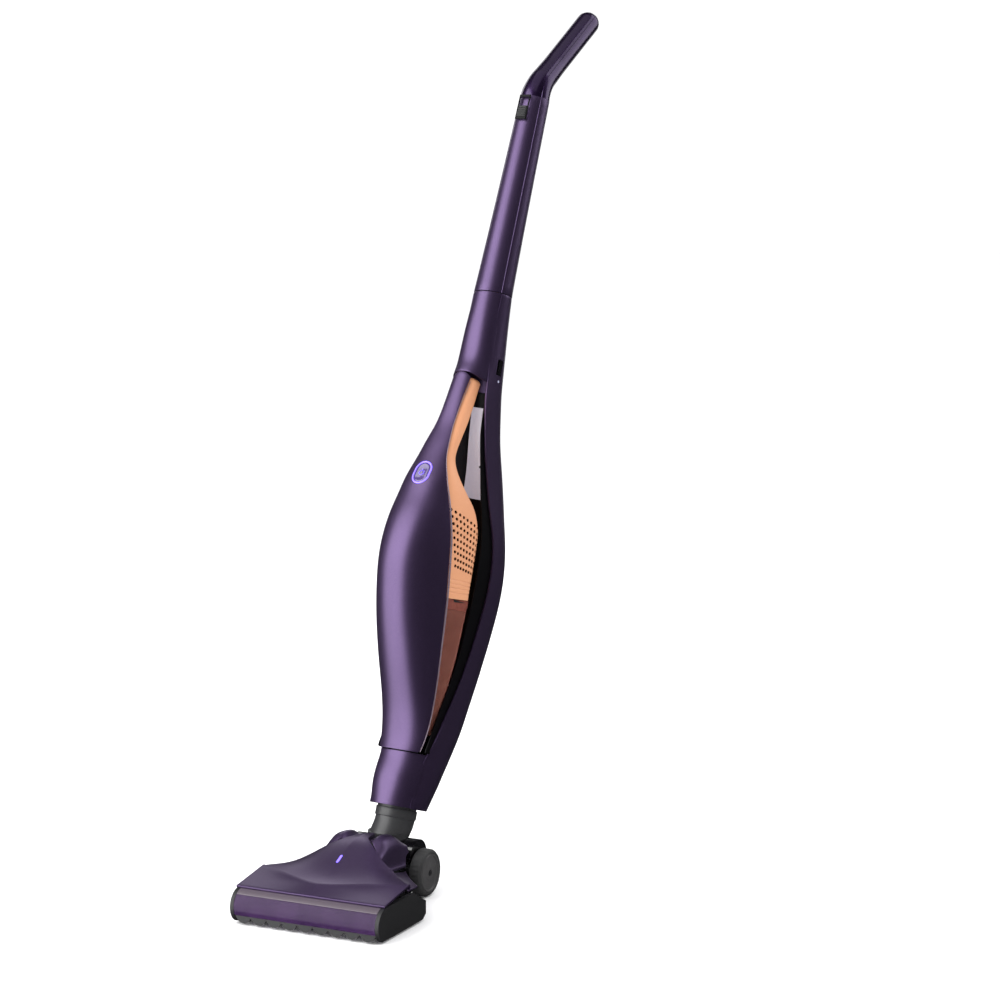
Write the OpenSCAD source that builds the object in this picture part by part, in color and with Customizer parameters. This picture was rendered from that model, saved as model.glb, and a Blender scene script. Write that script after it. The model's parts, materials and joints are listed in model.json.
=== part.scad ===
// Cordless stick vacuum: a floor head with a driven brush roller, a swivel elbow, a stick frame
// with a bent grip, and a hand unit (bin, filter, fan, battery) that tips forward out of the frame.
// The head lies square to the axes, with +X to its right, +Y to its rear and +Z up. The stick is
// built upright in its own frame, whose origin is the elbow's pivot, and is then turned and leaned.

/* [Stance] */
// Lean of the stick behind the vertical, in degrees
lean_deg = 18; // [12:1:22]
// Turn of the stick about the vertical through the elbow, in degrees
turn_deg = -9; // [-14:1:14]

/* [Stick] */
// Height of the neck's lower rim above the pivot, along the stick
neck_z = 60; // [56:1:66]
// Height of the neck's collar seam above the pivot
collar_z = 130; // [124:1:140]
// Height of the hand unit's top above the pivot
unit_top_z = 612; // [590:1:740]
// Height of the seam where the handle tube starts
tube_z = 735; // [720:1:890]
// Length of the straight handle tube
tube_len = 272; // [220:1:340]
// Diameter of the neck's lower rim
neck_d = 72; // [68:1:80]
// Width of the frame and hand unit at the belly
body_w = 104; // [98:1:126]
// Reach of the belly in front of the stick's axis
belly_front = 104; // [100:1:126]
// Reach of the spine behind the stick's axis
spine_back = 106; // [98:1:128]
// Width of the spine's channel
spine_w = 84; // [80:1:88]
// Diameter of the handle tube at its lower end
tube_d_low = 51; // [48:1:58]
// Diameter of the handle tube at its upper end
tube_d_top = 40; // [36:1:44]
// Wall of the casings
wall = 2.4; // [2:0.1:2.8]

/* [Grip] */
// Angle by which the grip bends back, in degrees
grip_bend = 33; // [20:1:40]
// Radius of the bend along its middle
bend_r = 55; // [45:1:80]
// Straight length of the grip behind the bend
grip_len = 132; // [110:1:150]
// Diameter of the grip near its end
grip_d = 33; // [28:1:38]

/* [Floor head] */
// Width of the head over its side caps
head_w = 205; // [190:1:250]
// Distance from the wheel axle forward to the roller's axis
roller_reach = 190; // [180:1:230]
// Diameter over the roller's bristles
roller_d = 34; // [30:1:37]
// Diameter of the wheels
wheel_d = 60; // [56:1:64]
// Width of a wheel
wheel_t = 17; // [14:1:20]
// Height of the hump's top above the floor
hump_z = 88; // [80:1:96]

/* [Fits] */
// Radial clearance of running pins and shafts
run_fit = 0.05; // [0.03:0.01:0.08]
// Gap between pieces that move past each other
gap = 0.5; // [0.3:0.1:0.8]

/* [Hidden] */

plum = [0.19, 0.12, 0.27];
plum_dark = [0.12, 0.07, 0.18];
lilac = [0.60, 0.54, 0.62];
copper = [0.86, 0.58, 0.42];
amber = [0.48, 0.30, 0.25, 0.7];
black = [0.06, 0.06, 0.07];
grey = [0.30, 0.30, 0.31];
violet = [0.45, 0.35, 0.95];
steel = [0.72, 0.72, 0.74];
brass_tone = [0.75, 0.60, 0.30];

eps = 0.01;
big = 600;

// ---- Smooth lines through stations, and lofts through rings of points ----
function mix(a, b, t) = a + (b - a) * t;
function span_of(s, z, i = 0) = (i >= len(s) - 2 || z < s[i + 1][0]) ? i : span_of(s, z, i + 1);
function rise(s, i, j) = (s[j][1] - s[i][1]) / (s[j][0] - s[i][0]);
function slope_at(s, i) = rise(s, max(i - 1, 0), min(i + 1, len(s) - 1));
function hermite(p, q, m, n, t) =
    p * (2 * t * t * t - 3 * t * t + 1) + m * (t * t * t - 2 * t * t + t)
    + q * (3 * t * t - 2 * t * t * t) + n * (t * t * t - t * t);
// Value at z of the smooth line through stations [position, value]
function line_at(s, z) =
    let (i = span_of(s, z), h = s[i + 1][0] - s[i][0], t = min(1, max(0, (z - s[i][0]) / h)))
    hermite(s[i][1], s[i + 1][1], slope_at(s, i) * h, slope_at(s, i + 1) * h, t);
// Power that keeps its sign, for superellipses
function pow_signed(v, e) = v < 0 ? -pow(-v, e) : pow(v, e);
function levels(a, b, n) = [for (i = [0 : n]) mix(a, b, i / n)];

// Side faces between rings that each hold n points; "first" is the index of the first point
function strip_faces(n, m, first, inward) = [
    for (j = [0 : m - 2], i = [0 : n - 1]) each
        let (a = first + j * n + i, b = first + j * n + (i + 1) % n, c = b + n, d = a + n)
        inward ? [[a, b, c], [a, c, d]] : [[a, c, b], [a, d, c]]
];
// Solid through rings, closed by flat ends; the rings run anticlockwise seen from above
module loft(rings) {
    n = len(rings[0]);
    m = len(rings);
    points = [for (r = rings) each r];
    low_end = [for (i = [0 : n - 1]) i];
    high_end = [for (i = [n - 1 : -1 : 0]) (m - 1) * n + i];
    polyhedron(points, concat(strip_faces(n, m, 0, false), [low_end], [high_end]));
}
// Open shell through C-shaped rings: each ring runs along its outer arc and back along its inner arc
module shell_loft(rings) {
    n = len(rings[0]);
    m = len(rings);
    last = (m - 1) * n;
    points = [for (r = rings) each r];
    ends = [
        for (i = [0 : n / 2 - 2]) each
            let (j = n - 1 - i)
            [[i, i + 1, j - 1], [i, j - 1, j], [last + i + 1, last + i, last + j - 1], [last + i, last + j, last + j - 1]]
    ];
    polyhedron(points, concat(strip_faces(n, m, 0, false), ends));
}
// Open-ended tube between outer and inner rings of equal count
module tube_loft(outer, inner) {
    n = len(outer[0]);
    m = len(outer);
    k = n * m;
    last = (m - 1) * n;
    points = concat([for (r = outer) each r], [for (r = inner) each r]);
    ends = [
        for (i = [0 : n - 1]) each
            let (j = (i + 1) % n)
            [[i, j, k + j], [i, k + j, k + i],
             [last + j, last + i, k + last + i], [last + j, k + last + i, k + last + j]]
    ];
    polyhedron(points, concat(strip_faces(n, m, 0, false), strip_faces(n, m, k, true), ends));
}
// Cup: outer rings with a closed lower end, inner rings with a closed lower end, open at the top
module cup_loft(outer, inner) {
    n = len(outer[0]);
    mo = len(outer);
    mi = len(inner);
    k = n * mo;
    top_o = (mo - 1) * n;
    top_i = k + (mi - 1) * n;
    points = concat([for (r = outer) each r], [for (r = inner) each r]);
    rim = [
        for (i = [0 : n - 1]) each
            let (j = (i + 1) % n)
            [[top_o + j, top_o + i, top_i + i], [top_o + j, top_i + i, top_i + j]]
    ];
    low_out = [for (i = [0 : n - 1]) i];
    low_in = [for (i = [n - 1 : -1 : 0]) k + i];
    polyhedron(points, concat(strip_faces(n, mo, 0, false), strip_faces(n, mi, k, true), rim, [low_out], [low_in]));
}

// ---- Driving lines of the stick, as [height, value] ----
half_w = body_w / 2;
half_spine = spine_w / 2;
tube_y_low = 5;
tube_y_top = 18;
tube_top_z = tube_z + tube_len;
belly_z = mix(collar_z, unit_top_z, 0.51);
function up(t) = mix(collar_z, unit_top_z, t);
function rise_up(t) = mix(unit_top_z, tube_z, t);
// Half width of the hand unit, from the collar to its top
unit_half = [
    [up(0), half_w - 11.5], [up(0.15), half_w - 7.5], [up(0.25), half_w - 4.5], [up(0.35), half_w - 2],
    [up(0.51), half_w], [up(0.61), half_w - 2], [up(0.665), half_w - 6], [up(0.715), half_w - 13],
    [up(0.77), tube_d_low / 2 + 2], [up(0.82), tube_d_low / 2 - 0.5], [up(0.87), tube_d_low / 2 - 2.5],
    [up(0.925), tube_d_low / 2 - 4.5], [up(1), tube_d_low / 2 - 6]
];
// Front line of the hand unit on its middle plane
unit_front = [
    [up(0), -27], [up(0.04), -25.5], [up(0.095), -0.31 * belly_front], [up(0.145), -0.41 * belly_front],
    [up(0.25), -0.645 * belly_front], [up(0.355), -0.85 * belly_front], [up(0.455), -0.975 * belly_front],
    [up(0.51), -belly_front], [up(0.56), -0.98 * belly_front], [up(0.61), -0.925 * belly_front],
    [up(0.665), -0.83 * belly_front], [up(0.715), -0.76 * belly_front], [up(0.77), -0.655 * belly_front],
    [up(0.82), -0.565 * belly_front], [up(0.87), -0.475 * belly_front], [up(0.925), -0.4 * belly_front],
    [up(0.975), -0.335 * belly_front], [up(1), -0.31 * belly_front]
];
// Widest line of the hand unit's front half
unit_mid = [
    [up(0), 8], [up(0.04), 8], [up(0.145), 2], [up(0.25), -10], [up(0.355), -16], [up(0.51), -24],
    [up(0.665), -32], [up(0.715), -42], [up(0.77), -50], [up(0.82), -44], [up(0.87), -34],
    [up(0.925), -27], [up(0.975), -20], [up(1), -16]
];
// Half angle that the front cover spans about the middle of the front
cover_span = [
    [up(0), 48], [up(0.05), 55], [up(0.095), 61], [up(0.155), 67], [up(0.215), 72], [up(0.27), 74],
    [up(0.4), 75], [up(0.52), 72], [up(0.575), 69], [up(0.65), 60], [up(0.705), 54], [up(0.757), 54],
    [up(0.815), 44], [up(0.87), 32], [up(0.94), 34], [up(1), 43]
];
// Rear line of the motor housing and, above it, of the hand unit's own handle
housing_back = [
    [up(0.4), 24], [up(0.58), 22.5], [up(0.63), 15], [up(0.665), 3], [up(0.69), -14], [up(0.72), -30],
    [up(0.755), -37], [up(0.79), -38], [up(0.835), -30], [up(0.895), -17], [up(0.95), -9], [up(1), -4]
];
// Rear line and half width of the bin
bin_back = [[up(0.045), 17], [up(0.15), 20], [up(0.25), 22], [up(0.42), 24]];
bin_half = [
    [up(0.045), half_spine - 9], [up(0.15), half_spine - 5.5], [up(0.25), half_w - 9], [up(0.36), half_w - 6.5],
    [up(0.42), half_w - 6]
];
// Half width, rear line, widest line and front rim of the spine's channel
spine_half = [
    [up(0), half_spine - 1.5], [up(0.15), half_spine - 1], [up(0.35), half_spine], [up(0.51), half_spine],
    [up(0.62), half_spine - 4], [up(0.725), half_spine - 9], [up(0.82), half_spine - 12],
    [up(0.92), half_spine - 13.5], [up(1), half_spine - 13.5]
];
spine_rear = [
    [up(0), 0.59 * spine_back], [up(0.04), 0.65 * spine_back], [up(0.145), 0.76 * spine_back],
    [up(0.25), 0.88 * spine_back], [up(0.355), 0.96 * spine_back], [up(0.455), spine_back],
    [up(0.56), 0.965 * spine_back], [up(0.665), 0.86 * spine_back], [up(0.77), 0.7 * spine_back],
    [up(0.87), 0.51 * spine_back], [up(0.975), 0.4 * spine_back], [up(1), 0.385 * spine_back]
];
spine_mid = [
    [up(0), 22], [up(0.15), 38], [up(0.35), 45], [up(0.51), 48], [up(0.665), 42], [up(0.77), 34],
    [up(0.9), 20], [up(1), 9]
];
spine_rim = [
    [up(0), -5], [up(0.065), 6], [up(0.115), 15], [up(0.185), 28], [up(0.255), 38], [up(0.33), 46],
    [up(0.42), 53], [up(0.5), 55.5], [up(0.585), 52], [up(0.64), 43], [up(0.685), 34], [up(0.735), 26],
    [up(0.81), 13], [up(0.865), 5], [up(0.915), -2], [up(0.965), -9], [up(1), -14]
];
// Front rim of the black liner inside the channel
liner_rim = [
    [up(0), -3], [up(0.06), 5], [up(0.1), 9], [up(0.16), 15], [up(0.22), 22], [up(0.28), 27],
    [up(0.58), 28], [up(0.64), 24], [up(0.69), 18], [up(0.75), 12], [up(0.81), 5], [up(0.865), -2],
    [up(0.92), -4], [up(1), -6]
];
// Shoulder between the hand unit's top and the handle tube: half width, front and rear lines
shoulder_half = [[rise_up(0), half_spine - 13.5], [rise_up(0.23), half_spine - 13.5], [rise_up(0.55), tube_d_low / 2 + 1.5], [rise_up(1), tube_d_low / 2]];
shoulder_front = [
    [rise_up(0), -0.31 * belly_front], [rise_up(0.12), -27], [rise_up(0.25), -24.5],
    [rise_up(0.55), -23.5], [rise_up(1), tube_y_low - tube_d_low / 2]
];
shoulder_rear = [[rise_up(0), 0.385 * spine_back], [rise_up(0.35), 37], [rise_up(0.7), 33], [rise_up(1), tube_y_low + tube_d_low / 2]];
// Neck from its lower rim to the collar seam: half width, front and rear lines
neck_half = [[neck_z, neck_d / 2], [mix(neck_z, collar_z, 0.5), neck_d / 2 + 3.5], [collar_z, half_spine - 1.5]];
neck_front = [[neck_z, 2 - neck_d / 2], [mix(neck_z, collar_z, 0.55), 2.5 - neck_d / 2], [collar_z, -27]];
neck_rear = [[neck_z, 2 + neck_d / 2], [mix(neck_z, collar_z, 0.5), 13 + neck_d / 2], [collar_z, 0.59 * spine_back]];
neck_mid = [[neck_z, 2], [collar_z, 14]];

front_power = 2 / 2.3;
rear_power = 2 / 3;
round_power = 1;

// Front arc of a section at z between angles -w and w, inset by t
function front_point(half, front, mid, z, a, t) =
    let (h = line_at(half, z) - t, f = line_at(front, z) + t, m = line_at(mid, z))
    [h * pow_signed(sin(a), front_power), m - (m - f) * pow_signed(cos(a), front_power), z];
function unit_point(z, a, t) = front_point(unit_half, unit_front, unit_mid, z, a, t);
// C-shaped ring of the front cover: outer arc to the right, inner arc back to the left
function cover_ring(z, n, out, deep, grow) =
    let (w = line_at(cover_span, z) + grow)
    concat([for (i = [0 : n]) unit_point(z, mix(-w, w, i / n), out)],
           [for (i = [n : -1 : 0]) unit_point(z, mix(-w, w, i / n), deep)]);
// Closed ring: a front half and a rear half that meet on the widest line
function full_ring(z, half, front, rear, mid_f, mid_r, pf, pr, n) = concat(
    [for (i = [0 : n]) let (a = 180 + 180 * i / n)
        [half * pow_signed(cos(a), pf), mid_f + (mid_f - front) * pow_signed(sin(a), pf), z]],
    [for (i = [0 : n]) let (a = 180 * i / n)
        [half * pow_signed(cos(a), pr), mid_r + (rear - mid_r) * pow_signed(sin(a), pr), z]]);
// Channel ring, open to the front between its two rims
function channel_side(z, half, rim, mid, rear, n) = concat(
    [[half, rim, z]],
    [for (i = [0 : n]) let (a = 180 * i / n)
        [half * pow_signed(cos(a), rear_power), mid + (rear - mid) * pow_signed(sin(a), rear_power), z]],
    [[-half, rim, z]]);
// The channel's widest line never lies ahead of its rim
function channel_mid(z, rim) = max(line_at(spine_mid, z), rim + 3);
function reverse(v) = [for (i = [len(v) - 1 : -1 : 0]) v[i]];
function channel_ring(z, half, rim, mid, rear, t, n) =
    concat(channel_side(z, half, rim, mid, rear, n), reverse(channel_side(z, half - t, rim, mid, rear - t, n)));

// ---- Places ----
pivot_y = 68;
pivot_z = 48;
wheel_y = pivot_y;
module stick() translate([0, pivot_y, pivot_z]) rotate([0, 0, turn_deg]) rotate([-lean_deg, 0, 0]) children();
module along_x(x0, x1, r, y = 0, z = 0) translate([x0, y, z]) rotate([0, 90, 0]) cylinder(r = r, h = x1 - x0, $fn = 64);
module both_sides() {
    children();
    mirror([1, 0, 0]) children();
}

// ---- Handle ----
function tube_ring(t, inset, n) =
    let (z = mix(tube_z, tube_top_z, t), r = mix(tube_d_low, tube_d_top, pow(t, 0.8)) / 2 - inset,
         y = mix(tube_y_low, tube_y_top, t))
    full_ring(z, r, y - r, y + r, y, y, round_power, round_power, n);
module handle_tube() color(plum) stick()
    tube_loft([for (t = levels(0, 1, 6)) tube_ring(t, 0, 12)], [for (t = levels(0, 1, 6)) tube_ring(t, wall, 12)]);

tube_tilt = atan((tube_y_top - tube_y_low) / tube_len);
// Middle line of the grip: an arc, then a straight; s runs from 0 at the tube to 1 at the end
function grip_angle(s) = mix(0, grip_bend + tube_tilt, min(1, s / 0.35));
function grip_mid(s) =
    let (a = grip_angle(s), d = max(0, (s - 0.35) / 0.65) * grip_len)
    [tube_y_top + bend_r * (1 - cos(a)) + d * sin(a), tube_top_z + bend_r * sin(a) + d * cos(a)];
function grip_ring(s, r, n) =
    let (a = grip_angle(s), m = grip_mid(s))
    [for (i = [0 : n - 1]) let (u = 360 * i / n)
        [r * cos(u), m[0] + r * sin(u) * cos(a), m[1] - r * sin(u) * sin(a)]];
grip_stations = [0, 0.09, 0.18, 0.27, 0.35, 0.5, 0.7, 0.9, 1];
tip_stations = [20, 40, 60, 75, 88];
function grip_r(s) = mix(tube_d_top, grip_d, min(1, s / 0.5)) / 2;
module handle_grip() color(plum_dark) stick() loft(concat(
    [for (s = grip_stations) grip_ring(s, grip_r(s), 24)],
    [for (b = tip_stations) grip_ring(1 + sin(b) * grip_r(1) / (grip_len / 0.65), grip_r(1) * cos(b), 24)]));

// The switch sits on the front of the tube, just under the bend
switch_z = tube_top_z - 18;
switch_len = 34;
switch_w = 13;
slider_len = 15;
switch_travel = 6;
bezel_t = 2.5;
function tube_y(z) = mix(tube_y_low, tube_y_top, (z - tube_z) / tube_len);
function tube_r(z) = mix(tube_d_low, tube_d_top, pow((z - tube_z) / tube_len, 0.8)) / 2;
switch_face = tube_y(switch_z) - tube_r(switch_z);
module at_switch() translate([0, switch_face, switch_z]) rotate([-tube_tilt - 1, 0, 0]) children();
module switch_bezel() color(black) stick() at_switch() difference() {
    translate([-switch_w / 2 - 1.5, -bezel_t - 0.6, -switch_len / 2]) cube([switch_w + 3, bezel_t, switch_len]);
    translate([-slider_len / 2, -bezel_t - 2, -switch_len / 2 + 3])
        cube([slider_len, bezel_t + 4, switch_len - 6]);
}
module power_slider() color(grey) stick() at_switch() translate([0, 0, -switch_travel]) union() {
    translate([-switch_w / 2, -bezel_t - 0.6, -slider_len / 2]) cube([switch_w, bezel_t, slider_len]);
    for (i = [-2 : 2]) translate([-switch_w / 2 + 1, -bezel_t - 1.5, i * 2.6 - 0.6]) cube([switch_w - 2, 1, 1.2]);
}
module switch_module() color(black) stick() translate([-8, tube_y(switch_z) - 11, switch_z - 16]) cube([16, 9, 32]);
module handle_wiring() color(brass_tone) stick() translate([0, tube_y_low + 2, tube_z - 60])
    rotate([-tube_tilt, 0, 0]) both_sides() translate([3, 0, 0]) cylinder(r = 1.6, h = tube_len, $fn = 16);

// ---- Frame ----
// The frame's shoulder starts behind the hand unit's top, under a face that rises to the front
button_z = rise_up(0.22);
button_y = 10;
button_len = 20;
button_w = 7;
button_travel = 2;
function shoulder_ring(z, t, n) = full_ring(z, line_at(shoulder_half, z) - t, line_at(shoulder_front, z) + t,
    line_at(shoulder_rear, z) - t, 6, 8, round_power, 0.85, n);
module at_status() translate([line_at(shoulder_half, unit_top_z + 9) - 0.8, 12, unit_top_z + 9]) rotate([0, 90, 0]) children();
shoulder_levels = levels(unit_top_z + gap, tube_z, 9);
module shoulder_shell() color(plum) stick() difference() {
    tube_loft([for (z = shoulder_levels) shoulder_ring(z, 0, 12)], [for (z = shoulder_levels) shoulder_ring(z, wall, 12)]);
    translate([15, button_y - button_w / 2 - 0.4, button_z - button_len / 2 - 0.4])
        cube([30, button_w + 0.8, button_len + 0.8]);
    at_status() cylinder(r = 1.7, h = 8, center = true, $fn = 24);
}
button_face = line_at(shoulder_half, button_z);
module release_button() color(black) stick() union() {
    translate([button_face - 5.5, button_y - button_w / 2, button_z - button_len / 2]) cube([6.2, button_w, button_len]);
    translate([button_face - 7.5, button_y - button_w / 2 - 1.5, button_z - button_len / 2 - 1.5])
        cube([2, button_w + 3, button_len + 3]);
}
module status_light() color(violet) stick() at_status() cylinder(r = 1.6, h = 2.6, center = true, $fn = 24);

spine_levels = levels(collar_z, unit_top_z, 16);
module spine_shell() color(plum) stick() difference() {
    shell_loft([for (z = spine_levels)
        let (rim = line_at(spine_rim, z))
        channel_ring(z, line_at(spine_half, z), rim, channel_mid(z, rim), line_at(spine_rear, z), wall, 10)]);
    contact_blocks(0.1);
}
liner_t = 1.8;
module spine_liner() color(black) stick() difference() {
    shell_loft([for (z = levels(collar_z + 1, unit_top_z - 1, 16))
        channel_ring(z, line_at(spine_half, z) - wall - 0.2, line_at(liner_rim, z), channel_mid(z, line_at(spine_rim, z)),
                     line_at(spine_rear, z) - wall - 0.2, liner_t, 10)]);
    liner_screws(screw_r + 0.2, 6);
}
function neck_ring(z, t, n) = full_ring(z, line_at(neck_half, z) - t, line_at(neck_front, z) + t,
    line_at(neck_rear, z) - t, line_at(neck_mid, z), line_at(neck_mid, z), round_power, 0.85, n);
neck_levels = levels(neck_z, collar_z, 5);
module neck_collar() color(plum) stick()
    tube_loft([for (z = neck_levels) neck_ring(z, 0, 12)], [for (z = neck_levels) neck_ring(z, wall, 12)]);

duct_r = 21;
duct_bore = 17.5;
duct_y = 3;
seal_t = 3;
duct_top = collar_z + 4;
module neck_duct() color(black) stick() difference() {
    union() {
        translate([0, duct_y, neck_z + 6]) cylinder(r = duct_r, h = duct_top - neck_z - 6, $fn = 64);
        translate([0, duct_y, neck_z + 6]) cylinder(r = neck_d / 2 - 3.2, h = 4, $fn = 64);
    }
    translate([0, duct_y, neck_z]) cylinder(r = duct_bore, h = big, $fn = 64);
}
module duct_seal() color(grey) stick() translate([0, duct_y, duct_top]) difference() {
    cylinder(r = duct_r, h = seal_t, $fn = 64);
    translate([0, 0, -1]) cylinder(r = duct_bore, h = seal_t + 2, $fn = 64);
}
contact_z = up(0.12);
contact_len = 16;
contact_slope = atan(rise([[0, line_at(spine_rear, contact_z)], [contact_len, line_at(spine_rear, contact_z + contact_len)]], 0, 1));
module contact_blocks(grow) both_sides() translate([6 - grow, line_at(spine_rear, contact_z) - 1.2 - grow, contact_z - grow])
    rotate([-contact_slope, 0, 0]) cube([6 + 2 * grow, 2.2 + 2 * grow, contact_len + 2 * grow]);
module charge_contacts() color(brass_tone) stick() contact_blocks(0);
screw_r = 1.6;
screw_back = 1.9;
// Screws from inside the channel that hold the liner to the spine's bosses
module liner_screws(r, reach) for (t = [0.2, 0.8]) let (z = up(t)) both_sides()
    translate([10, line_at(spine_rear, z) - wall - screw_back - reach, z]) rotate([-90, 0, 0]) cylinder(r = r, h = reach, $fn = 20);
module frame_screws() color(steel) stick() liner_screws(screw_r, 4);

// ---- Elbow ----
knuckle_r = 23;
knuckle_half = 28;
knuckle_bore = 16;
knuckle_neck_r = 21;
swivel_z = 30;
pin_r = 6;
pipe_r = 25;
spigot_len = 20;
spigot_bore = 13;
module knuckle_place() translate([0, pivot_y, pivot_z]) children();
module elbow_knuckle() color(black) knuckle_place() difference() {
    union() {
        along_x(-knuckle_half, knuckle_half, knuckle_r);
        cylinder(r = knuckle_neck_r, h = swivel_z, $fn = 64);
    }
    along_x(-knuckle_half - 1, knuckle_half + 1, pin_r + run_fit);
    along_x(-14, 14, knuckle_r - 4);
    cylinder(r = knuckle_bore, h = swivel_z + 1, $fn = 64);
    translate([-12, -knuckle_r - 1, -9]) cube([24, knuckle_r, 18]);
}
// The pipe stands on the knuckle, turns on its spigot and bends back into the neck
module elbow_pipe() color(black) knuckle_place() rotate([0, 0, turn_deg]) difference() {
    union() {
        intersection() {
            rotate([-lean_deg, 0, 0]) union() {
                translate([0, 2, 0]) cylinder(r = pipe_r, h = neck_z + 6, $fn = 64);
                translate([0, 2, neck_z - 14]) cylinder(r = pipe_r + 1.2, h = 12, $fn = 64);
            }
            translate([-60, -60, swivel_z + gap]) cube([120, 120, 120]);
        }
        translate([0, 0, swivel_z + gap]) cylinder(r = pipe_r, h = 6, $fn = 64);
        translate([0, 0, swivel_z - spigot_len]) cylinder(r = knuckle_bore - run_fit, h = spigot_len + 4, $fn = 64);
    }
    translate([0, 0, swivel_z - spigot_len - 1]) cylinder(r = spigot_bore, h = spigot_len + 16, $fn = 64);
    rotate([-lean_deg, 0, 0]) translate([0, 0.5, swivel_z + 4]) cylinder(r = spigot_bore, h = big, $fn = 64);
}
module swivel_ring() color(grey) knuckle_place() rotate([0, 0, turn_deg]) translate([0, 0, swivel_z - 5]) difference() {
    cylinder(r = pipe_r, h = 5 + gap, $fn = 64);
    translate([0, 0, -1]) cylinder(r = knuckle_neck_r + 0.3, h = 8, $fn = 64);
}

// ---- Hand unit ----
unit_low = collar_z + 1;
unit_levels = levels(unit_low, unit_top_z, 22);
// The power button and its light ring lie on the front, above the belly
power_z = up(0.725);
power_tilt = 20;
oval_r = 13;
oval_half = 4;
ring_t = 3;
module oval(r, h) translate([0, 0, -h / 2]) linear_extrude(h) union() {
    translate([0, oval_half]) circle(r = r, $fn = 48);
    translate([0, -oval_half]) circle(r = r, $fn = 48);
    square([2 * r, 2 * oval_half], center = true);
}
module at_power() translate([0, line_at(unit_front, power_z), power_z]) rotate([90 - power_tilt, 0, 0]) children();
module front_cover() color(plum) stick() difference() {
    shell_loft([for (z = unit_levels) cover_ring(z, 14, 0, wall, 0)]);
    at_power() oval(oval_r + 0.2, 30);
}
// Light strip along the cover's edge
trim_span = 3.2;
function trim_ring(z) =
    let (w = line_at(cover_span, z))
    [unit_point(z, w + 0.6, 0.2), unit_point(z, w + trim_span, 0.2), unit_point(z, w + trim_span, wall),
     unit_point(z, w + 0.6, wall)];
module trim_strip() loft([for (z = unit_levels) trim_ring(z)]);
module trim_right() color(lilac) stick() trim_strip();
module trim_left() color(lilac) stick() mirror([1, 0, 0]) trim_strip();
module ring_light() color(violet) stick() at_power() translate([0, 0, -1.5]) difference() {
    oval(oval_r, 4);
    oval(oval_r - ring_t, 6);
}
module power_button() color(plum_dark) stick() at_power() translate([0, 0, -1.2]) oval(oval_r - ring_t - 0.4, 5);

// Inner casing: the motor housing, which narrows upwards into the hand unit's own handle
housing_low = up(0.415);
inner_gap = 0.6;
function housing_half(z) = min(line_at(unit_half, z) - wall - inner_gap, half_w - 4.8);
function housing_ring(z, t, n) =
    let (f = line_at(unit_front, z) + wall + inner_gap + t, r = line_at(housing_back, z) - t, m = line_at(unit_mid, z))
    full_ring(z, housing_half(z) - t, f, r, m, mix(m, r, 0.35), front_power, 0.7, n);
housing_levels = concat([housing_low], [for (z = unit_levels) if (z > housing_low + 6) z]);
housing_t = 1.8;
vent_y = -36;
vent_len = 52;
vent_z = up(0.445);
vent_h = 96;
vent_t = 1.6;
vent_pitch_y = 6.2;
vent_pitch_z = 9.4;
module motor_housing() color(copper) stick() difference() {
    tube_loft([for (z = housing_levels) housing_ring(z, 0, 12)], [for (z = housing_levels) housing_ring(z, housing_t, 12)]);
    both_sides() translate([20, vent_y + 3, vent_z + 3]) cube([half_w, vent_len - 6, vent_h - 26]);
    at_power() oval(oval_r + 1, 24);
}
module vent_grille() difference() {
    translate([half_w - 4.7, vent_y, vent_z]) cube([vent_t, vent_len, vent_h]);
    for (i = [0 : 7], j = [0 : 7]) translate([0, vent_y + 4.3 + i * vent_pitch_y, vent_z + 24 - i * 1.1 + j * vent_pitch_z])
        along_x(half_w - 8, half_w, 1.7);
    for (k = [0 : 2]) translate([half_w - 4.7 + vent_t - 0.6, vent_y + 3, vent_z + 3 + k * 3.4]) cube([2, vent_len - 6, 1.4]);
}
module vent_grille_right() color(copper) stick() vent_grille();
module vent_grille_left() color(copper) stick() mirror([1, 0, 0]) vent_grille();

motor_y = -12;
motor_r = 26;
motor_low = up(0.47);
motor_len = 54;
shaft_r = 2.5;
fan_r = 27;
fan_low = motor_low - 19;
fan_h = 12;
module on_motor(z) translate([0, motor_y, z]) children();
module fan_motor() color(grey) stick() on_motor(motor_low) difference() {
    union() {
        cylinder(r = motor_r, h = motor_len, $fn = 64);
        translate([0, 0, motor_len]) cylinder(r = 9, h = 6, $fn = 48);
    }
    translate([0, 0, -1]) cylinder(r = shaft_r + run_fit, h = motor_len - 8, $fn = 32);
}
module motor_shaft() color(steel) stick() on_motor(fan_low + 1) cylinder(r = shaft_r, h = motor_low - fan_low + 40, $fn = 32);
module impeller() color(steel) stick() on_motor(fan_low) difference() {
    union() {
        translate([0, 0, fan_h - 2]) cylinder(r = fan_r, h = 2, $fn = 64);
        cylinder(r = 7, h = fan_h, $fn = 32);
        for (i = [0 : 8]) rotate([0, 0, i * 40]) translate([6, -0.8, 3]) cube([fan_r - 8, 1.6, fan_h - 4]);
    }
    translate([0, 0, 1]) cylinder(r = shaft_r, h = fan_h, $fn = 32);
}
module fan_shroud() color(black) stick() on_motor(fan_low - 1) difference() {
    cylinder(r = fan_r + 4, h = motor_low - fan_low, $fn = 64);
    translate([0, 0, -1]) cylinder(r = fan_r + 2, h = motor_low - fan_low + 2, $fn = 64);
}
bulkhead_z = up(0.405);
bulkhead_t = 3.4;
function bin_ring(z, t, n) = full_ring(z, line_at(bin_half, z) - t, line_at(unit_front, z) + wall + inner_gap + t,
    line_at(bin_back, z) - t, line_at(unit_mid, z), max(line_at(unit_mid, z), 4), front_power, 0.75, n);
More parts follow.
